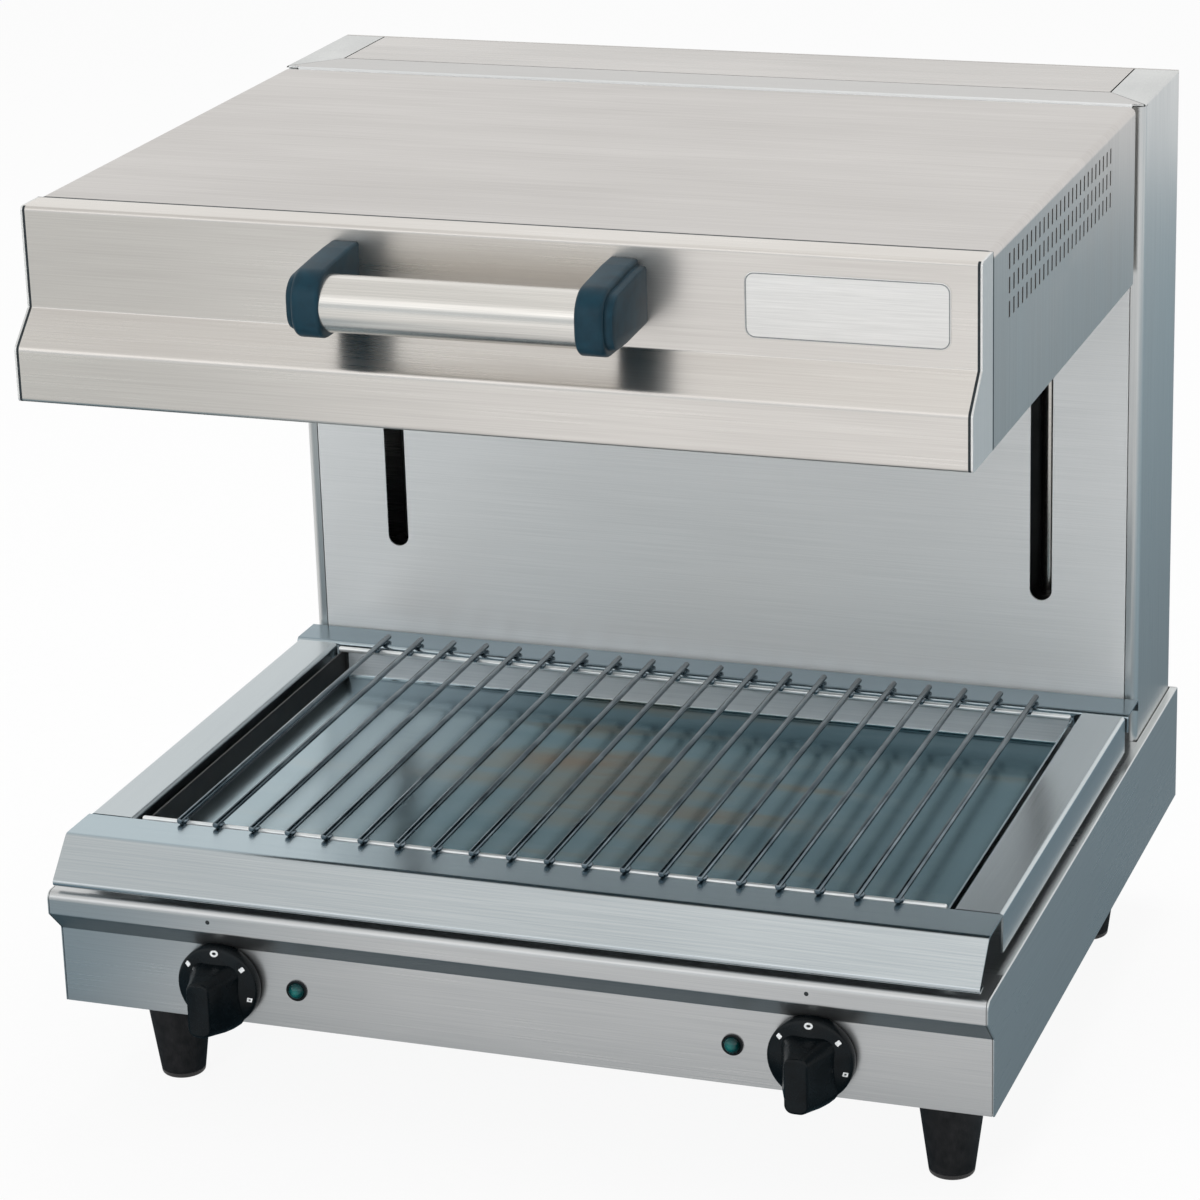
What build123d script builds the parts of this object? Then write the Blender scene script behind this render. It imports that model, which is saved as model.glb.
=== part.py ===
from build123d import *
import math
import os

# Salamander grill, in millimetres. +X is the user's right, the front faces -Y, +Z is up.
# The origin is the middle of the bounding box, on the counter.

# Overall sizes
BASE_W = 600.0
OVERALL_D = 574.0
FOOT_H = 76.0
BASE_H = 80.0
COL_H = 511.0
SHEET = 1.2
BEND_R = 1.5
SOFT_BEND_R = 4.0
FIT = 0.4
FRONT_Y = -OVERALL_D / 2
REAR_Y = OVERALL_D / 2

# Base box
BASE_HALF = BASE_W / 2
BASE_BOTTOM = FOOT_H
PANEL_Y = FRONT_Y + 59.0
LIP_Y = FRONT_Y + 44.0
LIP_TOP = BASE_BOTTOM + BASE_H
BAND_H = 15.0
UNDERCUT_H = 15.0
SIDE_FLANGE = 5.0
DECK_HALF = BASE_HALF - SIDE_FLANGE
LIP_FLANGE_Y = LIP_Y + 38.0
GLAND_X = BASE_HALF - 150.0
GLAND_Y = REAR_Y - 34.0

# Controls
KNOB_X = BASE_HALF - 109.5
KNOB_Z = BASE_BOTTOM + 26.0
KNOB_R = 26.5
KNOB_GAP = 5.0
KNOB_OUT = 35.0
SPINDLE_R = 3.0
LAMP_X = KNOB_X - 50.0
LAMP_R = 6.0

# Column
COL_HALF = BASE_HALF - 5.5
COL_FRONT = REAR_Y - 108.5
COL_TOP = BASE_BOTTOM + COL_H
COL_RETURN = 8.0
TOP_FLANGE = 29.0
FLANGE_X = COL_HALF - TOP_FLANGE
FLANGE_Y = COL_FRONT + TOP_FLANGE + 2.0
PANEL_HALF = COL_HALF - COL_RETURN - 0.6
SLOT_X = COL_HALF - 65.5
SLOT_W = 15.0
SLOT_LOW = LIP_TOP + 94.0
SLOT_HIGH = COL_TOP - 26.0

# Hood, drawn at the top of its travel
HOOD_HALF = COL_HALF - 3.5
HOOD_TOP = COL_TOP + 1.0
HOOD_BOTTOM = HOOD_TOP - 114.0
HOOD_FACE_Y = FRONT_Y + 63.0
HOOD_BAND_Y = FRONT_Y + 42.0
HOOD_KINK_HIGH = HOOD_TOP - 61.3
HOOD_KINK_LOW = HOOD_TOP - 81.0
HOOD_CAP_Y = FRONT_Y + 87.0
HOOD_REAR_Y = COL_FRONT - 13.5
HOOD_SEAM = 0.8
COVER_SEAM = 1.0
CAP_IN = HOOD_HALF - SHEET
VENT_ROWS = 3
VENT_COLS = 26
VENT_W = 3.0
VENT_H = 9.4
VENT_Y0 = HOOD_CAP_Y + 37.0
VENT_PITCH_Y = (HOOD_REAR_Y - 70.5 - VENT_Y0) / (VENT_COLS - 1)
VENT_Z0 = HOOD_TOP - 47.2
VENT_PITCH_Z = 13.9

# Heating elements and what holds them
REFLECT_HALF = HOOD_HALF - 9.0
REFLECT_Z = HOOD_TOP - 67.0
REFLECT_Y0 = HOOD_CAP_Y + 6.0
REFLECT_Y1 = HOOD_REAR_Y - SHEET - 4.0
ELEMENT_R = 4.25
ELEMENT_Z = REFLECT_Z - 22.0
LEG_X0 = 22.0
LEG_PITCH = (REFLECT_HALF - 30.0 - LEG_X0) / 5
LEG_FRONT = REFLECT_Y0 + 29.0
LEG_REAR = REFLECT_Y1 - 34.8
LEG_RISE = 14.0
TERMINAL_Z = REFLECT_Z + 25.0

# Handle
TUBE_R = 16.6
TUBE_Y = FRONT_Y + 18.0
TUBE_Z = HOOD_TOP - 33.4
BRACKET_IN = 76.0
BRACKET_OUT = BRACKET_IN + 22.0
CHEEK_T = 5.0
TUBE_SEAT = 14.0

# Tray, its frame and the rack
FRAME_TOP = LIP_TOP + 31.0
RAIL_OUT = BASE_HALF - 5.5
RAIL_IN = RAIL_OUT - 30.0
STRIP_FRONT = COL_FRONT - 32.5
STRIP_HALF = BASE_HALF - 4.0
RAIL_FRONT = FRONT_Y + 100.5
RAIL_REAR = STRIP_FRONT - 3.0
FASCIA_HALF = BASE_HALF - 5.2
FASCIA_REAR = RAIL_FRONT - 1.5
FASCIA_EDGE = LIP_Y + 22.4
FASCIA_OUT = LIP_Y - 6.0
FASCIA_LOW = LIP_TOP + 1.8
PAN_HALF = RAIL_IN - 4.5
PAN_REAR = STRIP_FRONT - FIT
PAN_FLOOR = LIP_TOP + 6.2
PAN_TOP = FRAME_TOP - 4.6
ROD_R = 2.5
ROD_COUNT = 20
ROD_X = PAN_HALF - 28.7
ROD_FRONT = FASCIA_REAR - 3.0
ROD_REAR = STRIP_FRONT + 13.0
ROD_Z = FRAME_TOP + ROD_R + 0.3
WIRE_Z = ROD_Z - 2 * ROD_R + FIT
WIRE_Y = (FASCIA_REAR + 5.0, STRIP_FRONT - 10.0)

# Lift inside the column
GUIDE_R = 6.0
GUIDE_Y = COL_FRONT + 26.5
BUSH_CLEAR = 0.08
BLOCK_Z1 = HOOD_TOP - 37.0
BLOCK_Z0 = BLOCK_Z1 - 70.0
BLOCK_HALF = 18.0
ARM_Z0 = BLOCK_Z0 + 5.0
ARM_Z1 = BLOCK_Z1 - 5.0
CARRIAGE_TOP = BLOCK_Z1 - 35.0
BEAM_Z = COL_TOP - 8.0
LOWER_BEAM_Z = SLOT_LOW - 14.0
WEIGHT_HALF = SLOT_X - 29.0
WEIGHT_T = 35.0
WEIGHT_Z0 = LIP_TOP - 10.0
WEIGHT_Z1 = WEIGHT_Z0 + 135.0
PULLEY_R = 22.0
PULLEY_X = WEIGHT_HALF - 50.0
PULLEY_Y = COL_FRONT + 51.5
PULLEY_Z = BEAM_Z - 28.0
CABLE_R = 1.5
WEIGHT_Y0 = PULLEY_Y + PULLEY_R - WEIGHT_T / 2
WEIGHT_Y1 = PULLEY_Y + PULLEY_R + WEIGHT_T / 2

# Feet
FOOT_X = BASE_HALF - 44.0
FOOT_Y = (FRONT_Y + 129.5, REAR_Y - 78.0)
FOOT_LOW_R = 13.9
FOOT_HIGH_R = 24.0

parts = {}


def rounded_face(points, radii):
    """Closed face from corner points, each with its own corner radius (0 is sharp)."""
    count = len(points)
    starts = []
    ends = []
    mids = []
    for i in range(count):
        corner = Vector(*points[i])
        before = (Vector(*points[i - 1]) - corner).normalized()
        after = (Vector(*points[(i + 1) % count]) - corner).normalized()
        radius = radii[i]
        if radius <= 0:
            starts.append(corner)
            ends.append(corner)
            mids.append(None)
            continue
        half = before.get_angle(after) / 2
        run = radius / math.tan(math.radians(half))
        bisector = (before + after).normalized()
        centre = corner + bisector * (radius / math.sin(math.radians(half)))
        starts.append(corner + before * run)
        ends.append(corner + after * run)
        mids.append(centre - bisector * radius)
    edges = []
    for i in range(count):
        if mids[i] is not None:
            edges.append(ThreePointArc(starts[i], mids[i], ends[i]))
        following = starts[(i + 1) % count]
        if (following - ends[i]).length > 1e-6:
            edges.append(Line(ends[i], following))
    return make_face(edges)


def polygon(points):
    return rounded_face(points, [0] * len(points))


def sheet_face(path, side, thickness=SHEET, bend=BEND_R):
    """Section of a folded sheet. path runs along one skin and side is +1 for metal on its left.

    bend is the inner radius of every fold, or a list with one for each point of the path.
    """
    bends = bend if isinstance(bend, list) else [bend] * len(path)
    normals = []
    for a, b in zip(path[:-1], path[1:]):
        length = math.hypot(b[0] - a[0], b[1] - a[1])
        normals.append((-(b[1] - a[1]) / length * side, (b[0] - a[0]) / length * side))
    skin = []
    skin_r = []
    inner = []
    inner_r = []
    for i, point in enumerate(path):
        n1 = normals[max(i - 1, 0)]
        n2 = normals[min(i, len(normals) - 1)]
        scale = thickness / (1 + n1[0] * n2[0] + n1[1] * n2[1])
        inner.append((point[0] + (n1[0] + n2[0]) * scale, point[1] + (n1[1] + n2[1]) * scale))
        skin.append(point)
        turn = (n1[0] * n2[1] - n1[1] * n2[0]) * side
        if abs(turn) < 1e-6:
            skin_r.append(0)
            inner_r.append(0)
        elif turn > 0:
            skin_r.append(bends[i] + thickness)
            inner_r.append(bends[i])
        else:
            skin_r.append(bends[i])
            inner_r.append(bends[i] + thickness)
    return rounded_face(skin + inner[::-1], skin_r + inner_r[::-1])


def along_x(face, x0, x1):
    """Extrude a face drawn in (Y, Z)."""
    return extrude(Plane.YZ.offset(x0) * face, x1 - x0)


def along_y(face, y0, y1):
    """Extrude a face drawn in (X, Z)."""
    return extrude(Plane.XZ.offset(-y1) * face, y1 - y0)


def along_z(face, z0, z1):
    """Extrude a face drawn in (X, Y)."""
    return extrude(Plane.XY.offset(z0) * face, z1 - z0)


def block(x0, x1, y0, y1, z0, z1):
    size = Box(x1 - x0, y1 - y0, z1 - z0, align=(Align.MIN, Align.MIN, Align.MIN))
    return Pos(x0, y0, z0) * size


def rod_x(radius, x0, x1, y, z):
    return Pos((x0 + x1) / 2, y, z) * Rot(0, 90, 0) * Cylinder(radius, x1 - x0)


def rod_y(radius, x, y0, y1, z):
    return Pos(x, (y0 + y1) / 2, z) * Rot(90, 0, 0) * Cylinder(radius, y1 - y0)


def rod_z(radius, x, y, z0, z1):
    return Pos(x, y, (z0 + z1) / 2) * Cylinder(radius, z1 - z0)


def mirrored(shape):
    return mirror(shape, about=Plane.YZ)


def pair(name, shape):
    """Store a right-hand piece and its mirror image."""
    parts[name + "_right"] = shape
    parts[name + "_left"] = mirrored(shape)


# Base sides: flat sheets whose front edge follows the control panel, with a narrow top flange.
side_outline = [
    (PANEL_Y, BASE_BOTTOM),
    (PANEL_Y, LIP_TOP - BAND_H - UNDERCUT_H),
    (LIP_Y, LIP_TOP - BAND_H),
    (LIP_Y, LIP_TOP),
    (REAR_Y, LIP_TOP),
    (REAR_Y, BASE_BOTTOM),
]
side_radii = [0, BEND_R, BEND_R + SHEET, SOFT_BEND_R + SHEET, 0, 0]
base_side = along_x(rounded_face(side_outline, side_radii), BASE_HALF - SHEET, BASE_HALF)
flange_y1 = REAR_Y - SHEET - FIT
base_side += block(DECK_HALF, BASE_HALF - SHEET, LIP_FLANGE_Y + FIT, flange_y1, LIP_TOP - SHEET, LIP_TOP)
top_edge = base_side.edges().filter_by(Axis.Y).group_by(Axis.Z)[-1].sort_by(Axis.X)[-1]
base_side = fillet(top_edge, 1.0)
pair("base_side", base_side)

# Control panel: one folded sheet with the lower face, the undercut, the lip and its top flange.
panel_path = [
    (PANEL_Y, BASE_BOTTOM),
    (PANEL_Y, LIP_TOP - BAND_H - UNDERCUT_H),
    (LIP_Y, LIP_TOP - BAND_H),
    (LIP_Y, LIP_TOP),
    (LIP_FLANGE_Y, LIP_TOP),
]
panel_bends = [0, BEND_R, BEND_R, SOFT_BEND_R, 0]
panel_face = sheet_face(panel_path, -1, SHEET, panel_bends)
control_panel = along_x(panel_face, -BASE_HALF + SHEET + FIT, BASE_HALF - SHEET - FIT)
for sign in (-1, 1):
    control_panel -= rod_y(5.0, sign * KNOB_X, PANEL_Y - 5, PANEL_Y + 5, KNOB_Z)
    control_panel -= rod_y(LAMP_R + 0.2, sign * LAMP_X, PANEL_Y - 5, PANEL_Y + 5, KNOB_Z)
parts["control_panel"] = control_panel

# Base floor, folded up at the rear into the rear wall.
floor_path = [(PANEL_Y + SHEET, BASE_BOTTOM), (REAR_Y, BASE_BOTTOM), (REAR_Y, LIP_TOP)]
base_floor = along_x(sheet_face(floor_path, 1), -BASE_HALF + SHEET, BASE_HALF - SHEET)
for sign in (-1, 1):
    for foot_y in FOOT_Y:
        base_floor -= rod_z(5.2, sign * FOOT_X, foot_y, BASE_BOTTOM - 5, BASE_BOTTOM + 5)
base_floor -= rod_z(10.2, GLAND_X, GLAND_Y, BASE_BOTTOM - 5, BASE_BOTTOM + 5)
parts["base_floor"] = base_floor

# Deck under the tray, flush with the lip.
parts["base_deck"] = block(-DECK_HALF, DECK_HALF, LIP_FLANGE_Y, COL_FRONT, LIP_TOP - SHEET, LIP_TOP)

# Tapered feet with a moulded-in stud through the base floor.
for row, foot_y in zip(("front", "rear"), FOOT_Y):
    foot = Pos(FOOT_X, foot_y, FOOT_H / 2) * Cone(FOOT_LOW_R, FOOT_HIGH_R, FOOT_H)
    foot = fillet(foot.edges().filter_by(GeomType.CIRCLE), 2.0)
    foot += rod_z(5.0, FOOT_X, foot_y, FOOT_H, FOOT_H + 14)
    pair("foot_" + row, foot)

# Control knobs: a coned skirt and a tall finger grip that reaches nearly to the lower rim.
skirt_y = PANEL_Y - KNOB_GAP
skirt_profile = [
    (0, skirt_y),
    (KNOB_R, skirt_y),
    (KNOB_R, skirt_y - 3.0),
    (KNOB_R - 2.5, skirt_y - 4.5),
    (11.0, skirt_y - 9.0),
    (0, skirt_y - 10.0),
]
skirt = revolve(Plane.XY * polygon(skirt_profile), Axis.Y)
grip_low = RectangleRounded(18, 39, 6)
grip_high = RectangleRounded(15, 35.6, 5.5)
low_plane = Plane(origin=(0, skirt_y - 2, -5.2), x_dir=(1, 0, 0), z_dir=(0, -1, 0))
high_plane = Plane(origin=(0, PANEL_Y - KNOB_OUT, -3.7), x_dir=(1, 0, 0), z_dir=(0, -1, 0))
grip = loft([low_plane * grip_low, high_plane * grip_high])
grip_edge = grip.faces().sort_by(Axis.Y)[0].edges()
grip = fillet(grip_edge, 2.0)
knob = skirt + grip
knob -= rod_y(SPINDLE_R + 0.1, 0, skirt_y - 16, skirt_y + 5, 0)
pair("knob", Pos(KNOB_X, 0, KNOB_Z) * knob)

# Rotary switches on the inside of the panel, and the spindles that the knobs turn.
switch = block(-22, 22, PANEL_Y + SHEET, PANEL_Y + SHEET + 36, -22, 22)
switch -= rod_y(SPINDLE_R + 0.1, 0, PANEL_Y - 5, PANEL_Y + SHEET + 20, 0)
pair("switch", Pos(KNOB_X, 0, KNOB_Z) * switch)
spindle = rod_y(SPINDLE_R, 0, skirt_y - 15.8, PANEL_Y + SHEET + 19.8, 0)
pair("spindle", Pos(KNOB_X, 0, KNOB_Z) * spindle)

# Pilot lamps: a bezel ring with a barrel through the panel, and a domed lens in it.
bezel = rod_y(LAMP_R, 0, PANEL_Y, PANEL_Y + 24, 0) + rod_y(LAMP_R + 0.7, 0, PANEL_Y - 1.2, PANEL_Y, 0)
bezel -= rod_y(LAMP_R - 0.6, 0, PANEL_Y - 2, PANEL_Y + 4, 0)
lens_profile = [
    (0, PANEL_Y + 3.8),
    (LAMP_R - 0.7, PANEL_Y + 3.8),
    (LAMP_R - 0.7, PANEL_Y - 2.0),
    (LAMP_R - 2.2, PANEL_Y - 4.4),
    (0, PANEL_Y - 5.2),
]
lens = revolve(Plane.XY * rounded_face(lens_profile, [0, 0, 1.2, 1.5, 0]), Axis.Y)
parts["lamp_bezels"] = [Pos(s * LAMP_X, 0, KNOB_Z) * bezel for s in (-1, 1)]
parts["lamp_lenses"] = [Pos(s * LAMP_X, 0, KNOB_Z) * lens for s in (-1, 1)]

# Terminal block and cable gland on the base floor, at the rear.
terminal_x = GLAND_X - 90
terminal_z = BASE_BOTTOM + SHEET
terminal = block(terminal_x, terminal_x + 60, REAR_Y - 70, REAR_Y - 45, terminal_z, terminal_z + 24.8)
for i in range(5):
    x0 = terminal_x + 2 + 12 * i
    terminal -= block(x0, x0 + 8, REAR_Y - 80, REAR_Y - 56, BASE_BOTTOM + 14, BASE_BOTTOM + 30)
parts["terminal_block"] = terminal
gland = rod_z(10.0, GLAND_X, GLAND_Y, BASE_BOTTOM - 4, BASE_BOTTOM + 12)
gland += extrude(Plane.XY.offset(BASE_BOTTOM - 14) * Pos(GLAND_X, GLAND_Y) * RegularPolygon(14, 6), 14)
gland += rod_z(10.5, GLAND_X, GLAND_Y, BASE_BOTTOM - 22, BASE_BOTTOM - 14)
gland -= rod_z(5.5, GLAND_X, GLAND_Y, BASE_BOTTOM - 30, BASE_BOTTOM + 20)
parts["cable_gland"] = gland

# Tray frame: two rails of folded sheet standing on the deck.
rail_path = [
    (RAIL_IN, LIP_TOP),
    (RAIL_IN, FRAME_TOP),
    (RAIL_OUT, FRAME_TOP),
    (RAIL_OUT, FRAME_TOP - 25),
]
pair("frame_rail", along_y(sheet_face(rail_path, -1), RAIL_FRONT, RAIL_REAR))

# Rear strip between the tray and the column.
strip_path = [
    (STRIP_FRONT, LIP_TOP),
    (STRIP_FRONT, FRAME_TOP),
    (COL_FRONT - 1.0, FRAME_TOP),
    (COL_FRONT - 1.0, FRAME_TOP - 8),
]
rear_strip = along_x(sheet_face(strip_path, -1), -RAIL_IN + 3, RAIL_IN - 3)
end_path = [
    (STRIP_FRONT, FRAME_TOP - 12),
    (STRIP_FRONT, FRAME_TOP),
    (COL_FRONT - 1.0, FRAME_TOP),
    (COL_FRONT - 1.0, FRAME_TOP - 8),
]
rear_strip += along_x(sheet_face(end_path, -1), -STRIP_HALF, STRIP_HALF)
parts["rear_strip"] = rear_strip

# Tray runners: low strips on the deck that carry the pan.
runner = block(PAN_HALF - 14, PAN_HALF - 1, RAIL_FRONT, RAIL_REAR - 4, LIP_TOP, PAN_FLOOR - SHEET)
parts["tray_runners"] = [runner, mirrored(runner)]

# Tray front: a flange level with the rails, a sloped face with a hemmed foot, and a web on the pan.
fascia_path = [
    (FASCIA_REAR, FRAME_TOP),
    (FASCIA_EDGE, FRAME_TOP),
    (FASCIA_OUT, FASCIA_LOW),
    (FASCIA_OUT + 14, FASCIA_LOW + 3.4),
]
fascia_bends = [0, SOFT_BEND_R, BEND_R, 0]
fascia_wide = along_x(sheet_face(fascia_path, 1, SHEET, fascia_bends), -FASCIA_HALF, FASCIA_HALF)
fascia_web = block(-PAN_HALF, PAN_HALF, FASCIA_REAR - SHEET, FASCIA_REAR, PAN_FLOOR, FRAME_TOP - SHEET)
parts["tray_front"] = fascia_wide + fascia_web

# Drip pan, open at the top: a floor and four walls seam-welded along their edges, welded to the web.
pan_in = PAN_HALF - SHEET
pan_floor = block(-PAN_HALF, PAN_HALF, FASCIA_REAR, PAN_REAR, PAN_FLOOR - SHEET, PAN_FLOOR)
pan_side = block(pan_in, PAN_HALF, FASCIA_REAR, PAN_REAR, PAN_FLOOR, PAN_TOP)
pan_front = block(-pan_in, pan_in, FASCIA_REAR, FASCIA_REAR + SHEET, PAN_FLOOR, PAN_TOP)
pan_rear = block(-pan_in, pan_in, PAN_REAR - SHEET, PAN_REAR, PAN_FLOOR, PAN_TOP)
parts["drip_pan"] = [pan_floor, pan_side, mirrored(pan_side), pan_front, pan_rear]

# Wire rack: rods welded on two cross wires that lie on the pan's side walls.
wires = [rod_x(ROD_R, -PAN_HALF, PAN_HALF, y, WIRE_Z) for y in WIRE_Y]
rods = []
for i in range(ROD_COUNT):
    rods.append(rod_y(ROD_R, -ROD_X + 2 * ROD_X * i / (ROD_COUNT - 1), ROD_FRONT, ROD_REAR, ROD_Z))
parts["wire_rack"] = wires[0] + [wires[1]] + rods

# Column sides: front return, rear return and a top flange mitred to the front panel's flange.
side_plan = [
    (COL_HALF - COL_RETURN, COL_FRONT),
    (COL_HALF, COL_FRONT),
    (COL_HALF, REAR_Y - SHEET),
    (COL_HALF - 12, REAR_Y - SHEET),
]
col_side = along_z(sheet_face(side_plan, 1, SHEET, 3.5), BASE_BOTTOM + 6, COL_TOP - SHEET - FIT)
side_flange = [
    (COL_HALF, COL_FRONT + 0.5),
    (COL_HALF, REAR_Y - 5),
    (FLANGE_X, REAR_Y - 5),
    (FLANGE_X, FLANGE_Y + 0.5),
]
flange = along_z(polygon(side_flange), COL_TOP - SHEET, COL_TOP)
flange += block(COL_HALF - SHEET, COL_HALF, COL_FRONT + 8, REAR_Y - 8, COL_TOP - 4, COL_TOP - SHEET)
col_side -= block(COL_HALF - 14, COL_HALF + 1, REAR_Y - 4, REAR_Y, COL_TOP - 5, COL_TOP)
col_side += flange
outer_edge = col_side.edges().filter_by(Axis.Y).group_by(Axis.Z)[-1].sort_by(Axis.X)[-1]
col_side = fillet(outer_edge, 1.0)
pair("column_side", col_side)

# Column front panel with the two lift slots and a mitred top flange.
front_path = [(COL_FRONT, LIP_TOP - 12), (COL_FRONT, COL_TOP), (FLANGE_Y, COL_TOP)]
front_panel = along_x(sheet_face(front_path, -1), -PANEL_HALF, PANEL_HALF)
front_panel -= block(-COL_HALF, -FLANGE_X, COL_FRONT + 4, FLANGE_Y + 5, COL_TOP - 3, COL_TOP + 5)
front_panel -= block(FLANGE_X, COL_HALF, COL_FRONT + 4, FLANGE_Y + 5, COL_TOP - 3, COL_TOP + 5)
ear = [
    (PANEL_HALF, COL_FRONT + 1.0),
    (COL_HALF - 1.4, COL_FRONT + 1.0),
    (FLANGE_X, FLANGE_Y),
    (FLANGE_X, COL_FRONT + 3.5),
    (PANEL_HALF, COL_FRONT + 3.5),
]
ear_right = along_z(polygon(ear), COL_TOP - SHEET, COL_TOP)
front_panel += ear_right
front_panel += mirrored(ear_right)
slot_mid = (SLOT_LOW + SLOT_HIGH) / 2
slot_face = Rot(0, 0, 90) * SlotOverall(SLOT_HIGH - SLOT_LOW, SLOT_W)
for sign in (-1, 1):
    slot = extrude(Plane.XZ.offset(-COL_FRONT - 10) * Pos(sign * SLOT_X, slot_mid) * slot_face, 20)
    front_panel -= slot
parts["column_front_panel"] = front_panel

# Column top cover, an inset plate with short legs that stand on the pulley beam.
COVER_X = FLANGE_X - COVER_SEAM
COVER_Y0 = FLANGE_Y + COVER_SEAM
COVER_Y1 = REAR_Y - 5.0
top_cover = block(-COVER_X, COVER_X, COVER_Y0, COVER_Y1, COL_TOP - SHEET, COL_TOP)
for x0 in (-COVER_X, COVER_X - SHEET):
    top_cover += block(x0, x0 + SHEET, COVER_Y0, COVER_Y0 + 55, BEAM_Z + 3, COL_TOP)
parts["column_top_cover"] = top_cover

# Column rear cover with a short top flange.
rear_path = [(REAR_Y, LIP_TOP + FIT), (REAR_Y, COL_TOP), (REAR_Y - 4.6, COL_TOP)]
parts["column_rear_cover"] = along_x(sheet_face(rear_path, 1), -COL_HALF + 1, COL_HALF - 1)

# Lift guides: two ground rods between the lower beam and the pulley beam.
guide_rod = rod_z(GUIDE_R, SLOT_X, GUIDE_Y, LOWER_BEAM_Z, BEAM_Z)
parts["guide_rods"] = [guide_rod, mirrored(guide_rod)]
INNER = COL_HALF - SHEET
beam_path = [
    (COL_FRONT + SHEET, LOWER_BEAM_Z - 30),
    (COL_FRONT + SHEET, LOWER_BEAM_Z),
    (COL_FRONT + 46, LOWER_BEAM_Z),
]
parts["lower_beam"] = along_x(sheet_face(beam_path, -1, 3.0, 2.0), -PANEL_HALF + 2, PANEL_HALF - 2)
stop = rod_z(12.0, SLOT_X, GUIDE_Y, LOWER_BEAM_Z, LOWER_BEAM_Z + 12)
stop -= rod_z(GUIDE_R + 0.3, SLOT_X, GUIDE_Y, LOWER_BEAM_Z - 5, LOWER_BEAM_Z + 20)
parts["lift_stops"] = [stop, mirrored(stop)]

# Pulley beam under the top cover, with two welded cheeks for each pulley.
pulley_beam = block(-INNER, INNER, COL_FRONT + 8, REAR_Y - 12, BEAM_Z, BEAM_Z + 3)
for sign in (-1, 1):
    for offset in (-9.0, 6.0):
        x0 = sign * PULLEY_X + offset
        cheek = block(x0, x0 + 3, PULLEY_Y - 14, PULLEY_Y + 14, PULLEY_Z - 14, BEAM_Z)
        pulley_beam += cheek - rod_x(4.0, x0 - 5, x0 + 8, PULLEY_Y, PULLEY_Z)
parts["pulley_beam"] = pulley_beam
pin = rod_x(4.0, PULLEY_X - 9, PULLEY_X + 12, PULLEY_Y, PULLEY_Z)
pin += rod_x(6.5, PULLEY_X + 9, PULLEY_X + 12, PULLEY_Y, PULLEY_Z)
parts["pulley_pins"] = [pin, mirrored(pin)]
pulley_profile = [
    (4.08, -5.0),
    (25.0, -5.0),
    (25.0, -3.6),
    (PULLEY_R - CABLE_R - 0.4, -1.9),
    (PULLEY_R - CABLE_R - 0.4, 1.9),
    (25.0, 3.6),
    (25.0, 5.0),
    (4.08, 5.0),
]
pulley = revolve(Plane.XZ * polygon(pulley_profile), Axis.Z)
pair("pulley", Pos(PULLEY_X, PULLEY_Y, PULLEY_Z) * Rot(0, 90, 0) * pulley)

# Lift cables: straight runs to the carriage and to the counterweight, and the bend over each pulley.
front_run = rod_z(CABLE_R, PULLEY_X, PULLEY_Y - PULLEY_R, CARRIAGE_TOP, PULLEY_Z)
rear_run = rod_z(CABLE_R, PULLEY_X, PULLEY_Y + PULLEY_R, WEIGHT_Z1, PULLEY_Z)
parts["lift_cables_front"] = [front_run, mirrored(front_run)]
parts["lift_cables_rear"] = [rear_run, mirrored(rear_run)]
bend = Pos(PULLEY_X, PULLEY_Y, PULLEY_Z) * Rot(0, 90, 0) * Torus(PULLEY_R, CABLE_R)
bend &= block(PULLEY_X - 10, PULLEY_X + 10, PULLEY_Y - 40, PULLEY_Y + 40, PULLEY_Z, PULLEY_Z + 40)
parts["lift_cable_bends"] = [bend, mirrored(bend)]

# Carriage: slide blocks with flanged bushes on the guide rods, the beam between them, and the arms.
block_y0 = GUIDE_Y - BLOCK_HALF
slide_block = block(SLOT_X - 20, SLOT_X + 20, block_y0, GUIDE_Y + BLOCK_HALF, BLOCK_Z0, BLOCK_Z1)
slide_block -= rod_z(10.0, SLOT_X, GUIDE_Y, BLOCK_Z0 - 5, BLOCK_Z1 + 5)
parts["slide_blocks"] = [slide_block, mirrored(slide_block)]
bushes = []
for z0 in (BLOCK_Z0, BLOCK_Z1 - 25):
    bush = rod_z(10.0, SLOT_X, GUIDE_Y, z0, z0 + 25)
    bush -= rod_z(GUIDE_R + BUSH_CLEAR, SLOT_X, GUIDE_Y, z0 - 5, z0 + 30)
    bushes += [bush, mirrored(bush)]
parts["guide_bushes"] = bushes
carriage_y0 = PULLEY_Y - PULLEY_R - 12.5
carriage = block(-SLOT_X + 20, SLOT_X - 20, carriage_y0, carriage_y0 + 25, CARRIAGE_TOP - 25, CARRIAGE_TOP)
carriage -= block(-SLOT_X, SLOT_X, carriage_y0 + 2, carriage_y0 + 23, CARRIAGE_TOP - 23, CARRIAGE_TOP - 2)
parts["carriage_beam"] = carriage
arm = block(SLOT_X - 5, SLOT_X + 5, HOOD_REAR_Y + 4, GUIDE_Y - BLOCK_HALF, ARM_Z0, ARM_Z1)
arm += block(SLOT_X - 25, SLOT_X + 25, HOOD_REAR_Y, HOOD_REAR_Y + 4, ARM_Z0 - 3, ARM_Z1 + 3)
parts["lift_arms"] = [arm, mirrored(arm)]

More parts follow.
